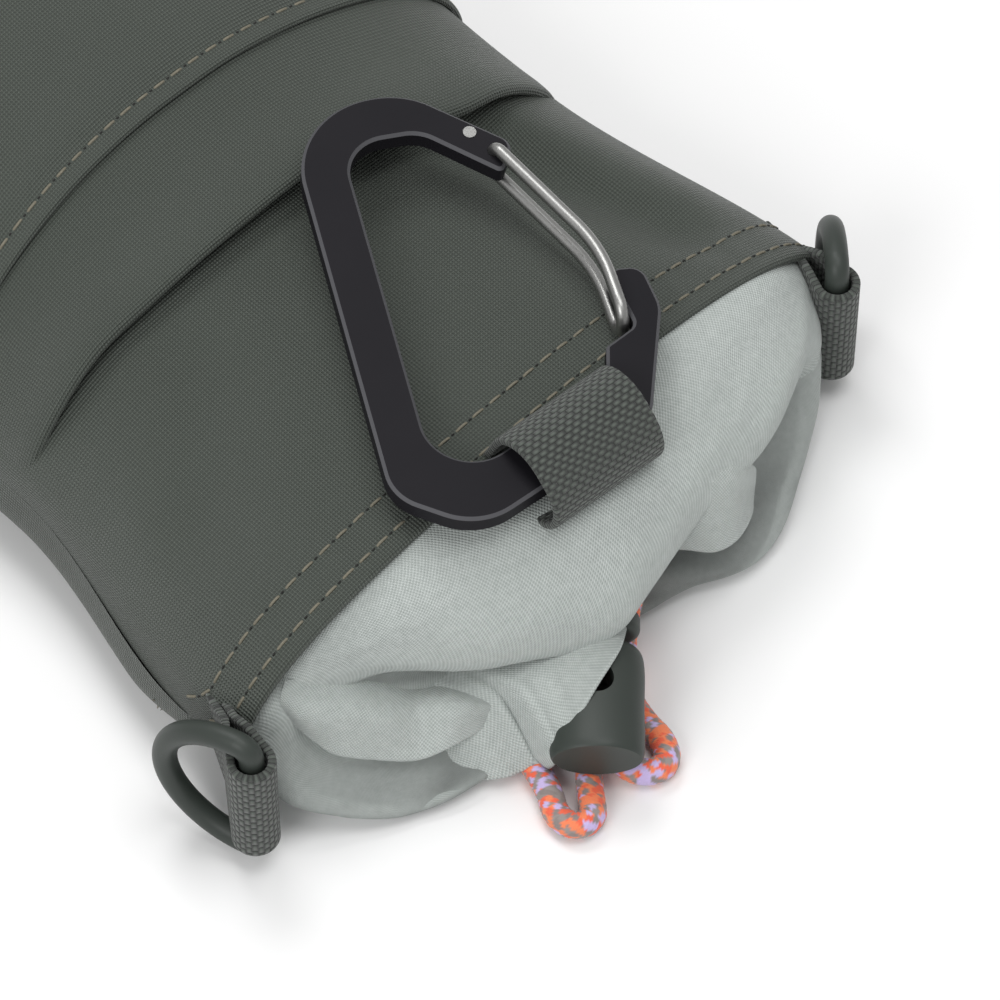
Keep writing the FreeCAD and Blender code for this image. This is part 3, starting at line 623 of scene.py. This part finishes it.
def pocket_point(share, d, under=0.0):
    """The x, d and z of a point on the pocket's outer surface, or this far under it."""
    angle = math.pi * (1 - share)
    wide = half_width(d) + POCKET_STAND_OUT - under
    x = wide * bend(math.cos(angle), FRONT_POWER)
    rise = bend(math.sin(angle), FRONT_POWER)
    lift = pocket_lift(d) + 1.4 - under
    z = seam_z(d) + rise * (crown(d) + lift - seam_z(d))
    z += rise * (0.9 * rough(x, d, 0, 40, 1.7) + 0.25 * rough(x, d, 0, 13, 4.2))
    return x, d, z


def lap_at(share):
    return lap_edge(pocket_point(share, 60)[0])


def outer_pocket(share, d):
    """The pocket's surface with the dip along its seam."""
    x, d, z = pocket_point(share, d)
    return spot(x, d, z - 0.45 * bell(d - lap_at(share), POCKET_STITCH, 1.6))


def band_fabric():
    """The pocket's band: from under the panel up to the free edge, then folded back underneath."""
    shares = spread(PANEL_COLUMNS)
    steps = 26
    rows = []
    for i in range(steps + 14):
        row = []
        for share in shares:
            x0 = pocket_point(share, 50)[0]
            edge, lap = band_edge(x0), lap_edge(x0)
            if i <= steps:
                d, under = lap + 4 - (lap + 4 - edge) * i / steps, 1.2
                if i > steps - 3:
                    under += 0.25 * (i - steps + 3) ** 2 / 9
            else:
                turn = (i - steps) / 5
                curl = min(turn, 1.0) * math.pi
                d = edge - 1.1 * math.sin(curl) + max(0.0, turn - 1) * 5
                under = 1.45 + 1.1 * (1 - math.cos(curl))
            x, d, z = pocket_point(share, d, under)
            hollow = 1.4 * (bell(x, -38, 9) + bell(x, 40, 7)) * bell(d, edge + 1, 10)
            z += hollow - 0.8 * bell(d, (edge + lap) / 2 + 2, 7) * ramp01(50 - abs(x), 0, 20)
            row.append(spot(x, d, z))
        rows.append(row)
    mesh = grid_mesh("pocket_band_fabric", rows, flip=True)
    piece = add_object("pocket_band_fabric", mesh, COATED)
    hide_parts("pocket_band")
    return piece


def pocket_fabric():
    """The pocket's panel: its turned-under edge over the band, then its surface down to the base."""
    shares = spread(PANEL_COLUMNS)
    rows = []
    for i in range(8):
        turn = math.pi * i / 7
        row = []
        for share in shares:
            d = lap_at(share) - 0.7 * math.sin(turn)
            x, d, z = pocket_point(share, d, 1.2 * (1 + math.cos(turn)) / 2)
            row.append(spot(x, d, z))
        rows.append(row)
    count = 92
    for i in range(1, count):
        row = []
        for share in shares:
            start = lap_at(share)
            row.append(outer_pocket(share, start + (BODY_LENGTH - 0.5 - start) * i / (count - 1)))
        rows.append(row)
    piece = add_object("pocket_fabric", grid_mesh("pocket_fabric", rows), COATED)
    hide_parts("pocket_panel")
    return piece


band = band_fabric()
pocket = pocket_fabric()

# ---------------------------------------------------------------- collar

MOUTH = Vector((-8.0, -19.5, 9.5))
MOUTH_HALF = (11.0, 4.2)

# the lip of the puffed collar round the mouth: angle, x, d, z
LIPS = [
    (0, 46, -19, 12),
    (20, 43, -21, 19),
    (40, 25, -28, 21),
    (62, 8, -30, 19),
    (90, -8, -33, 17),
    (114, -24, -26, 17),
    (136, -38, -15, 19),
    (158, -51, -13, 18),
    (180, -54, -18, 8),
    (206, -44, -27, 3.2),
    (235, -29, -31.5, 2.8),
    (256, -18, -30, 2.8),
    (278, -8, -25, 2.6),
    (300, 8, -28, 3.2),
    (322, 22, -32, 4.2),
    (343, 38, -25, 7),
]


def between(before, start, end, after, t):
    """A point from start to end on the smooth run through all four, t from 0 to 1."""
    p0, p1, p2, p3 = (Vector(point) for point in (before, start, end, after))
    return 0.5 * (
        2 * p1 + (p2 - p0) * t + (2 * p0 - 5 * p1 + 4 * p2 - p3) * t * t
        + (3 * p1 - p0 - 3 * p2 + p3) * t ** 3
    )


def lip(angle):
    """A smooth closed curve through the lips."""
    degrees = math.degrees(angle) % 360
    table = LIPS + [(LIPS[0][0] + 360, *LIPS[0][1:]), (LIPS[1][0] + 360, *LIPS[1][1:])]
    table = [(LIPS[-1][0] - 360, *LIPS[-1][1:])] + table
    i = next(k for k in range(1, len(table) - 2) if degrees <= table[k + 1][0])
    t = (degrees - table[i][0]) / (table[i + 1][0] - table[i][0])
    return between(*(table[i + k][1:] for k in (-1, 0, 1, 2)), t)


def bezier(points, t):
    start, leave, arrive, end = points
    s = 1 - t
    return start * s ** 3 + leave * 3 * s * s * t + arrive * 3 * s * t * t + end * t ** 3


def collar_point(turn, share):
    """The collar before it is draped: turn goes round it, share from the hem in to the mouth."""
    angle = 2 * math.pi * turn
    cos, sin = math.cos(angle), math.sin(angle)
    power = FRONT_POWER if sin >= 0 else BACK_POWER
    x = 57.0 * bend(cos, power)
    z = 16.5 + bend(sin, power) * (17.6 if sin >= 0 else 13.6)
    root = Vector((x, 3.5 - 8.0 * (1 - (x / 60) ** 2), z))
    edge = lip(angle)
    outward = Vector((cos, 0, sin))
    reach = (edge - root).length
    before = root + Vector((0.15 * cos, -0.42, 0.10 * sin)) * reach
    over = edge + Vector((0.30 * cos, -0.02, 0.34 * sin)) * reach * 0.9
    over.z = max(over.z, 1.2)
    gather = MOUTH + Vector((MOUTH_HALF[0] * cos, 0, MOUTH_HALF[1] * sin))
    split = 0.62
    if share <= split:
        point = bezier((root, before, over, edge), share / split)
    else:
        tuck = edge - outward * 2.5 + Vector((0, 0.8, 0))
        ahead = gather + Vector((0, -4.5, 0))
        point = bezier((edge, tuck, ahead, gather), (share - split) / (1 - split))
    pleat = math.sin(11 * angle + 1.3 * math.sin(3 * angle)) * ramp01(share, 0.25, 0.9)
    point = point + outward * pleat * 0.9
    point.z = max(point.z, 0.7)
    return point


def collar_fabric():
    around, steps = 168, 46
    rows = [
        [spot(*collar_point(j / around, i / (steps - 1))) for j in range(around)] for i in range(steps)
    ]
    mesh = grid_mesh("collar_fabric", rows, closed=True, flip=True)
    piece = add_object("collar_fabric", mesh, SAGE_CLOTH)
    drape(piece, around, steps)
    subdivide(piece)
    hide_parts("collar", "collar_channel", "drawcord_ring")
    return piece


# the collar's simulation: its frames, how many cells to each side are averaged for the creases and for
# the drift taken out of them, the share of their depth that is kept, and its limit in millimetres
DRAPE_FRAMES = 14
CREASE_FINE = 2
CREASE_COARSE = 8
CREASE_GAIN = 0.38
CREASE_CAP = 0.9


def drape(piece, around, steps):
    """Simulates the collar's cloth a little too large for its sewn ends, and keeps only fine creases."""
    pins = piece.vertex_groups.new(name="pins")
    pins.add(list(range(around * steps)), 0.12, "REPLACE")
    held = list(range(around * 3)) + list(range(around * (steps - 2), around * steps))
    pins.add(held, 1.0, "REPLACE")
    start = [v.co.copy() for v in piece.data.vertices]
    cloth = piece.modifiers.new("drape", "CLOTH")
    settings = cloth.settings
    settings.quality = 5
    settings.mass = 0.1
    settings.tension_stiffness = settings.compression_stiffness = 20
    settings.shear_stiffness = 8
    settings.bending_stiffness = 0.35
    settings.shrink_min = -0.13
    settings.vertex_group_mass = "pins"
    settings.pin_stiffness = 0.4
    settings.effector_weights.gravity = 0.03
    cloth.collision_settings.use_self_collision = True
    cloth.collision_settings.self_distance_min = 0.001
    cloth.collision_settings.use_collision = False
    scene = bpy.context.scene
    scene.frame_start, scene.frame_end = 1, DRAPE_FRAMES
    for number in range(1, DRAPE_FRAMES + 1):
        scene.frame_set(number)
    graph = bpy.context.evaluated_depsgraph_get()
    draped = [v.co.copy() for v in piece.evaluated_get(graph).to_mesh().vertices]
    piece.modifiers.remove(cloth)
    moves = [after - before for before, after in zip(start, draped)]
    soft = blurred(moves, around, steps, CREASE_FINE)
    drift = blurred(moves, around, steps, CREASE_COARSE)
    cap = CREASE_CAP * MM
    for i, vertex in enumerate(piece.data.vertices):
        free = ramp01(i // around, 4, 13)
        crease_move = (soft[i] - drift[i]) * CREASE_GAIN * free
        if crease_move.length > cap:
            crease_move = crease_move.normalized() * cap
        vertex.co = start[i] + crease_move
        vertex.co.z = max(vertex.co.z, 0.3 * MM)
    scene.frame_set(1)


def blurred(moves, around, steps, reach):
    """Each move averaged with its neighbours round and along the collar, as far as reach."""
    offsets = range(-reach, reach + 1)
    count = len(offsets)
    ring = []
    for i in range(steps):
        row = moves[i * around:(i + 1) * around]
        ring.append([
            sum((row[(j + k) % around] for k in offsets), Vector()) / count for j in range(around)
        ])
    smooth = []
    for i in range(steps):
        near = [ring[min(max(i + k, 0), steps - 1)] for k in offsets]
        smooth += [sum((row[j] for row in near), Vector()) / count for j in range(around)]
    return smooth


collar = collar_fabric()

# the fold of the collar that lies over the lock: hidden top edge, middle and lower edge of each column
TONGUE = [
    ((-38, -11, 6), (-37, -19, 4), (-35, -27.5, 1.8)),
    ((-33, -14, 12), (-31.5, -23, 11), (-30, -32.6, 3.2)),
    ((-29, -17, 13), (-27, -26, 13), (-26.8, -34.2, 4.5)),
    ((-24, -20, 14), (-23, -28.5, 15), (-24.8, -37.0, 9.8)),
    ((-19, -22, 14.5), (-18, -29.5, 16), (-21.0, -37.4, 13.2)),
    ((-13, -24, 14.5), (-13, -30, 16.6), (-15.8, -36.2, 15.2)),
    ((-8, -25, 14), (-8, -29.5, 16.4), (-9.6, -34.4, 15.6)),
    ((-4, -25, 13), (-4, -28.5, 14.6), (-5.2, -31.5, 13.4)),
]


def through(points, t):
    """A point on a smooth run through these points, t from 0 to 1."""
    place = t * (len(points) - 1)
    i = min(int(place), len(points) - 2)
    near = [points[min(max(i + k, 0), len(points) - 1)] for k in (-1, 0, 1, 2)]
    return between(*near, place - i)


def edges_across(columns, count):
    """The share across a fold with its top, middle and lower edge there, count times."""
    for j in range(count):
        across = j / (count - 1)
        yield across, [through([column[k] for column in columns], across) for k in range(3)]


# the puffed fold at the left corner, which lies over the tongue's left border
LEFT_FOLD = [
    ((-50.5, -9.0, 24.5), (-52.5, -10.0, 22.5), (-52.5, -11.5, 19.5)),
    ((-45.5, -11.0, 22.5), (-50.5, -13.5, 21.5), (-51.5, -15.0, 17.5)),
    ((-42.0, -13.0, 20.0), (-46.0, -16.5, 19.0), (-49.0, -17.5, 13.5)),
    ((-36.0, -15.5, 15.5), (-41.0, -19.5, 16.0), (-44.0, -21.0, 10.5)),
    ((-32.0, -17.5, 13.0), (-35.5, -20.5, 14.0), (-39.0, -24.0, 8.5)),
    ((-29.0, -19.5, 12.5), (-32.0, -24.0, 14.5), (-34.0, -26.5, 10.0)),
    ((-27.0, -25.5, 12.5), (-27.0, -27.0, 12.0), (-27.0, -27.5, 9.5)),
]
# the puffed fold under the right end of the main puff
RIGHT_FOLD = [
    ((13.5, -25.5, 25.5), (9.0, -26.5, 22.0), (6.5, -27.5, 18.0)),
    ((16.5, -26.0, 27.0), (13.0, -28.0, 24.0), (11.0, -28.5, 14.0)),
    ((19.0, -27.0, 26.5), (16.0, -29.0, 23.5), (14.5, -31.0, 12.5)),
    ((22.0, -27.5, 25.0), (19.0, -30.0, 21.5), (18.5, -31.5, 12.0)),
    ((24.0, -28.0, 22.0), (23.5, -29.0, 17.0), (23.5, -29.5, 11.0)),
    ((26.0, -27.5, 18.0), (26.0, -27.5, 13.0), (26.0, -27.5, 9.0)),
]


def puffed_fold(name, columns, outward):
    """A pleat of the collar puffed outward over its neighbours, its lower edge rolled back underneath."""
    count, rolled = 44, 0.3
    edges = list(edges_across(columns, 90))
    rows = []
    for i in range(count):
        share = i / (count - 1)
        turn = max(0.0, share - (1 - rolled)) / rolled * math.pi
        row = []
        for _, (top, middle, low) in edges:
            point = through([top, middle, low], min(share / (1 - rolled), 1.0))
            inward = (middle - low).normalized()
            point += inward * (1.4 * (1 - math.cos(turn)) - 1.2 * math.sin(turn))
            point -= outward * 2.6 * (1 - math.cos(turn))
            point += outward * 0.5 * rough(point.x, point.y, point.z, 7, 2.2)
            point.z = max(point.z, 0.8)
            row.append(spot(*point))
        rows.append(row)
    piece = add_object(name, grid_mesh(name, rows), SAGE_CLOTH)
    subdivide(piece)
    return piece


def tongue_ridge(across):
    """How far the tongue's folds stand out or sink in, across its width."""
    raised = 1.5 * bell(across, 0.40, 0.045) + 0.6 * bell(across, 0.52, 0.05)
    return raised - 2.4 * bell(across, 0.345, 0.028) - 0.5 * bell(across, 0.2, 0.05)


def collar_tongue():
    """The collar's second layer: it hangs from under the puff and lies over the lock's left side."""
    count, rolled = 40, 0.14
    edges = list(edges_across(TONGUE, 100))
    rows = []
    for i in range(count):
        share = i / (count - 1)
        turn = max(0.0, share - (1 - rolled)) / rolled * math.pi
        strength = ramp01(share, 0.1, 0.7)
        row = []
        for across, (top, middle, low) in edges:
            point = through([top, middle, low], min(share / (1 - rolled), 1.0))
            inward = (middle - low).normalized()
            point += inward * (1.0 - math.cos(turn)) * 1.6
            point += Vector((0, 0.35, -1)) * math.sin(turn / 2) * 1.1
            point += Vector((0, -0.7, 0.7)) * tongue_ridge(across) * strength
            point.z = max(point.z, 0.6)
            row.append(spot(*point))
        rows.append(row)
    piece = add_object("collar_fold", grid_mesh("collar_fold", rows), SAGE_CLOTH)
    thicken(piece, 0.3)
    subdivide(piece)
    return piece


tongue = collar_tongue()
left = puffed_fold("collar_left_fold", LEFT_FOLD, Vector((-0.41, -0.41, 0.82)))
right = puffed_fold("collar_right_fold", RIGHT_FOLD, Vector((0.10, -0.80, 0.60)))

# ---------------------------------------------------------------- webbing


def webbing_loop(name, node, inside, tail, lay, sag=0.0, squeeze=0.0):
    """A strip folded round an axis and narrowed at its tail by the share squeeze.

    lay turns u towards the neck, v across the strip's two layers and w along the axis into a point.
    """
    neck = WEB_NECK
    middle = inside + WEB_WALL / 2
    half_gap = WEB_WALL * 0.55
    lean = math.asin(middle / neck)
    path = [(neck + tail, half_gap), (neck + tail * 0.5, half_gap)]
    start = (middle * math.sin(lean), middle * math.cos(lean))
    for t in (0.0, 0.2, 0.4, 0.6, 0.8):
        path.append((neck + (start[0] - neck) * t, half_gap * (1 - t) + start[1] * t))
    sweep = math.pi + 2 * lean
    for i in range(33):
        angle = math.pi / 2 - lean + sweep * i / 32
        radius = middle + sag * max(0.0, math.cos(angle - math.radians(248))) ** 2
        path.append((radius * math.cos(angle), radius * math.sin(angle)))
    upper_layer = path[:7]
    path += [(u, -v) for u, v in reversed(upper_layer)]
    rows = []
    for u, v in path:
        width = WEB_WIDTH * (1 - squeeze * ramp01(u, 0.5 * neck, neck + 0.7 * tail))
        rows.append([lay(u, v, width * (k / 20 - 0.5)) for k in range(21)])
    piece = add_object(name, grid_mesh(name, rows), WEBBING)
    thicken(piece, WEB_WALL, 0.0)
    edge = piece.modifiers.new("edge", "BEVEL")
    edge.width = 0.35 * MM
    edge.segments = 2
    edge.limit_method = "ANGLE"
    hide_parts(node)
    return piece


def front_lay(u, v, w):
    point = Vector((w, u * math.cos(LOOP_PITCH) + v * math.sin(LOOP_PITCH),
                    -u * math.sin(LOOP_PITCH) + v * math.cos(LOOP_PITCH)))
    point.rotate(Matrix.Rotation(LOOP_SKEW, 3, "Z"))
    return spot(*(LOOP_AXIS + point))


def side_lay(side, bar, outwards):
    turn = math.radians(outwards)
    inward = Vector((-side * math.sin(turn), math.cos(turn), 0))
    across = Vector((inward.y, -inward.x, 0)) * side

    def lay(u, v, w):
        return spot(*(Vector(bar) + inward * u + across * v + Vector((0, 0, w))))

    return lay


webbing_loop("front_webbing", "front_loop", LOOP_INSIDE, 2.5, front_lay, sag=2.4)
for which, facts in SIDE_LOOPS.items():
    webbing_loop(which + "_webbing", "side_loop_" + which, SIDE_INSIDE, 8.5, side_lay(*facts), squeeze=0.42)

# ---------------------------------------------------------------- stitching


def capsule(verts, faces, start, end, normal, radius, dip):
    """One stitch: a thread that rises out of the cloth and dives back in."""
    along = end - start
    side = along.cross(normal).normalized()
    rings, spokes = 7, 6
    base = len(verts)
    for i in range(rings):
        t = i / (rings - 1)
        centre = start + along * t + normal * (radius * 0.55 - dip * (2 * t - 1) ** 4)
        fat = radius * math.sqrt(max(0.04, 1 - (2 * t - 1) ** 6))
        for k in range(spokes):
            angle = 2 * math.pi * k / spokes
            verts.append(centre + (side * math.cos(angle) * 1.15 + normal * math.sin(angle)) * fat)
    for i in range(rings - 1):
        for k in range(spokes):
            a, b = base + i * spokes + k, base + i * spokes + (k + 1) % spokes
            faces.append((a, b, b + spokes, a + spokes))
    faces.append([base + k for k in reversed(range(spokes))])
    faces.append([base + (rings - 1) * spokes + k for k in range(spokes)])


def sew(name, curve, normals, pitch=3.4, gap=0.6, radius=0.2):
    """A row of stitches along a run of surface points, with a dark dot of painted shade for the needle hole
    between each two.
    """
    marks = running(curve)
    threads, hole_shades = ([], []), ([], [])

    def at(mark):
        for i in range(1, len(marks)):
            if marks[i] >= mark:
                t = (mark - marks[i - 1]) / (marks[i] - marks[i - 1])
                return curve[i - 1].lerp(curve[i], t), normals[i - 1].lerp(normals[i], t).normalized()
        return curve[-1], normals[-1]

    mark = 1.5 * MM
    while mark + pitch * MM < marks[-1]:
        jitter = RNG.uniform(-0.12, 0.12)
        start, normal = at(mark)
        end, _ = at(mark + (pitch - gap + jitter) * MM)
        capsule(*threads, start, end, normal, radius * MM, 0.5 * MM)
        # painted shade: a small dark capsule where the thread goes in stands for the shade in the needle
        # hole
        hole, normal = at(mark + (pitch - gap / 2 + jitter / 2) * MM)
        forward = (end - start).normalized() * 0.3 * MM
        capsule(*hole_shades, hole - forward, hole + forward, normal, 0.13 * MM, 0.05 * MM)
        mark += pitch * MM
    for label, (verts, faces), material in ((name, threads, THREAD), (name + "_holes", hole_shades, HOLE_SHADE)):
        mesh = bpy.data.meshes.new(label)
        mesh.from_pydata(verts, [], faces)
        add_object(label, mesh, material)


def row_on(point, d, first=0.02, last=0.98, count=160):
    """Surface points and outward normals along a row, point(share, d) giving the surface."""
    shares = [first + (last - first) * i / (count - 1) for i in range(count)]
    curve = [point(share, d(share)) for share in shares]
    normals = []
    for share in shares:
        across = point(min(share + 0.004, 1), d(share)) - point(max(share - 0.004, 0), d(share))
        along = point(share, d(share) + 0.6) - point(share, d(share) - 0.6)
        normals.append(across.cross(along).normalized())
    return curve, normals


# the two rows along the hem, by their distance from the edge
for label, distance in (("hem_stitch_inner", 7.2), ("hem_stitch_outer", 2.1)):
    sew(label, *row_on(front_point, lambda share: distance))
    sew("back_" + label, *row_on(back_point, lambda share: distance))
sew("pocket_stitch", *row_on(outer_pocket, lambda share: lap_at(share) + POCKET_STITCH))

# ---------------------------------------------------------------- drawcord

LEFT_ROUTE = [
    (-24.2, -20.8, 8.6),
    (-24.4, -24.4, 6.6),
    (-24.9, -28.9, 4.0),
    (-25.8, -33.6, 2.5),
    (-27.2, -38.2, 2.2),
    (-29.6, -41.8, 2.2),
    (-29.0, -45.1, 2.2),
    (-26.0, -46.0, 2.2),
    (-23.9, -43.3, 2.2),
    (-21.5, -40.4, 2.2),
    (-18.8, -37.3, 2.2),
    (-16.6, -34.9, 2.6),
    (-15.6, -33.2, 4.2),
    (-15.5, -32.85, 6.8),
]
RIGHT_ROUTE = [
    (8.2, -20.8, 8.6),
    (5.4, -23.6, 6.4),
    (1.4, -25.4, 4.2),
    (-2.2, -28.4, 3.0),
    (-5.6, -31.6, 2.4),
    (-8.2, -35.6, 2.2),
    (-9.4, -40.0, 2.2),
    (-9.6, -43.8, 2.2),
    (-11.8, -47.0, 2.2),
    (-14.9, -46.3, 2.2),
    (-16.8, -43.2, 2.2),
    (-15.3, -39.9, 2.4),
    (-13.2, -37.5, 2.9),
    (-12.4, -36.3, 4.4),
    (-12.3, -36.0, 6.8),
]
CORD_STEP = 0.24
FLECK_LENGTH = 1.6
FLECKS = [
    (0.95, 0.10, 0.018),
    (1.0, 0.22, 0.06),
    (0.24, 0.20, 0.185),
    (0.30, 0.26, 0.24),
    (0.62, 0.50, 0.86),
]


def spline_points(route, name):
    """Points read from the route's own NURBS spline."""
    curve = bpy.data.curves.new(name + "_path", "CURVE")
    curve.dimensions = "3D"
    curve.resolution_u = 24
    spline = curve.splines.new("NURBS")
    spline.points.add(len(route) - 1)
    for point, place in zip(spline.points, route):
        point.co = (*spot(*place), 1)
    spline.order_u = 3
    spline.use_endpoint_u = True
    holder = bpy.data.objects.new(name + "_path", curve)
    mesh = bpy.data.meshes.new_from_object(holder)
    points = [v.co.copy() for v in mesh.vertices]
    bpy.data.objects.remove(holder)
    bpy.data.meshes.remove(mesh)
    return points


def resample(points, step):
    """The same run with points about a step apart."""
    marks = running(points)
    count = max(2, round(marks[-1] / step))
    result, i = [], 1
    for k in range(count + 1):
        mark = marks[-1] * k / count
        while i < len(marks) - 1 and marks[i] < mark:
            i += 1
        t = (mark - marks[i - 1]) / max(1e-12, marks[i] - marks[i - 1])
        result.append(points[i - 1].lerp(points[i], t))
    return result


def fleck(strand, block):
    """The colour of one strand over a short stretch."""
    value = noise.noise(Vector((strand * 0.9 + 0.37, block * 0.8 + 0.11, 4.7)))
    pick = int((value + 0.5) * 6.5) % len(FLECKS)
    return FLECKS[pick]


def braided_cord(name, node, route):
    """A cord of two crossing sets of strands, its flecks stored as point colours."""
    path = resample(spline_points(route, name), CORD_STEP * MM)
    around, strands, pitch = 32, 8, 9.0
    frames, up = [], Vector((0, 0, 1))
    for i, centre in enumerate(path):
        tangent = (path[min(i + 1, len(path) - 1)] - path[max(i - 1, 0)]).normalized()
        side = tangent.cross(up).normalized()
        up = side.cross(tangent).normalized()
        frames.append((centre, side, up))
    verts, faces, colours = [], [], []
    for i, (centre, side, rise) in enumerate(frames):
        mark = i * CORD_STEP
        for k in range(around):
            turn = k / around
            right = (turn + mark / pitch) * strands
            left = (turn - mark / pitch) * strands
            over = (math.floor(right) + math.floor(left)) % 2 == 0
            strand = math.floor(right) if over else 100 + math.floor(left)
            bulge = abs(math.sin(math.pi * (right if over else left)))
            radius = CORD_DIA / 2 * (0.93 + 0.07 * bulge) * MM
            angle = 2 * math.pi * turn
            verts.append(centre + (side * math.cos(angle) + rise * math.sin(angle)) * radius)
            colours.append(fleck(strand % (strands if over else 100 + strands), mark // FLECK_LENGTH))
    for i in range(len(frames) - 1):
        for k in range(around):
            a, b = i * around + k, i * around + (k + 1) % around
            faces.append((a, b, b + around, a + around))
    faces.append(list(reversed(range(around))))
    faces.append([(len(frames) - 1) * around + k for k in range(around)])
    mesh = bpy.data.meshes.new(name)
    mesh.from_pydata(verts, [], faces)
    layer = mesh.color_attributes.new("flecks", "FLOAT_COLOR", "POINT")
    for item, colour in zip(layer.data, colours):
        item.color = (*colour, 1)
    piece = add_object(name, mesh, CORD, body=None)
    spot(*route[0])
    spot(*route[-1])
    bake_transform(piece)
    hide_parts(node)
    tuple(spot(*route[0]))
    return piece


braided_cord("cord_left", "drawcord_left", LEFT_ROUTE)
braided_cord("cord_right", "drawcord_right", RIGHT_ROUTE)

# ---------------------------------------------------------------- hardware

FINISHES = {
    "d_ring_left": PLASTIC,
    "d_ring_right": PLASTIC,
    "lock_body": PLASTIC,
    "lock_plunger": PLASTIC,
    "lock_spring": STEEL,
    "carabiner_frame": ANODISED_PAINTED_EDGE,
    "carabiner_rivet": STEEL,
    "carabiner_gate": STEEL,
}
for node, material in FINISHES.items():
    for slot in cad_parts[node].material_slots:
        slot.material = material

# ---------------------------------------------------------------- light and camera


def stage():
    """The pale floor, which isn't part of the object."""
    mesh = bpy.data.meshes.new("floor")
    reach = 3.0
    corners = [(-reach, -reach, 0), (reach, -reach, 0), (reach, reach, 0), (-reach, reach, 0)]
    mesh.from_pydata(corners, [], [(0, 1, 2, 3)])
    floor = bpy.data.objects.new("floor", mesh)
    bpy.context.scene.collection.objects.link(floor)
    g = Graph("floor_paper")
    tone = g.noise(0.002, 2)
    colour = g.mix(tone, (0.88, 0.88, 0.88), (0.92, 0.92, 0.92))
    mesh.materials.append(g.finish(colour, 0.95, specular_ior_level=0.1))
    floor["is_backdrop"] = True


def direction_to(azimuth, elevation):
    """The way to a light or camera at these degrees, 0 being in front of the mouth."""
    az, el = math.radians(azimuth), math.radians(elevation)
    return Vector((math.sin(az) * math.cos(el), -math.cos(az) * math.cos(el), math.sin(el)))


LAMP_DISTANCE = 0.9
LAMP_AIM = Vector((0, -0.08, 0))


def area_light(name, azimuth, elevation, size, power):
    lamp = bpy.data.lights.new(name, "AREA")
    lamp.shape = "DISK"
    lamp.size = size
    lamp.energy = power
    rig = bpy.data.objects.new(name, lamp)
    bpy.context.scene.collection.objects.link(rig)
    direction = direction_to(azimuth, elevation)
    rig.location = direction * LAMP_DISTANCE + LAMP_AIM
    rig.rotation_euler = direction.to_track_quat("Z", "Y").to_euler()


def lights():
    world = bpy.data.worlds.new("studio")
    world.use_nodes = True
    background = world.node_tree.nodes["Background"]
    background.inputs["Color"].default_value = (1, 1, 1, 1)
    background.inputs["Strength"].default_value = 0.50
    bpy.context.scene.world = world
    area_light("key", 165, 62, 0.40, 2.3)
    area_light("fill", -75, 40, 0.45, 2.6)
    area_light("top", 20, 80, 0.5, 2.4)
    bpy.context.scene.view_settings.view_transform = "Standard"


# the camera's sensor in millimetres, the width seen at the aim and the distance in metres
SENSOR = 36
FRAME_WIDTH = 0.1438
CAMERA_DISTANCE = 0.85
VIEW_AZIMUTH, VIEW_ELEVATION = -45, 55
AIM = (-5.2, -6.2, 20)


def camera():
    lens = bpy.data.cameras.new("camera")
    lens.sensor_width = SENSOR
    lens.lens = SENSOR * CAMERA_DISTANCE / FRAME_WIDTH
    eye = bpy.data.objects.new("camera", lens)
    bpy.context.scene.collection.objects.link(eye)
    direction = direction_to(VIEW_AZIMUTH, VIEW_ELEVATION)
    eye.location = spot(*AIM) + direction * CAMERA_DISTANCE
    eye.rotation_euler = direction.to_track_quat("Z", "Y").to_euler()
    bpy.context.scene.camera = eye


stage()
lights()
camera()

sizes = {"cad": CAD_BOX, "visual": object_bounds()}
{key: [list(corner) for corner in box] for key, box in sizes.items()}
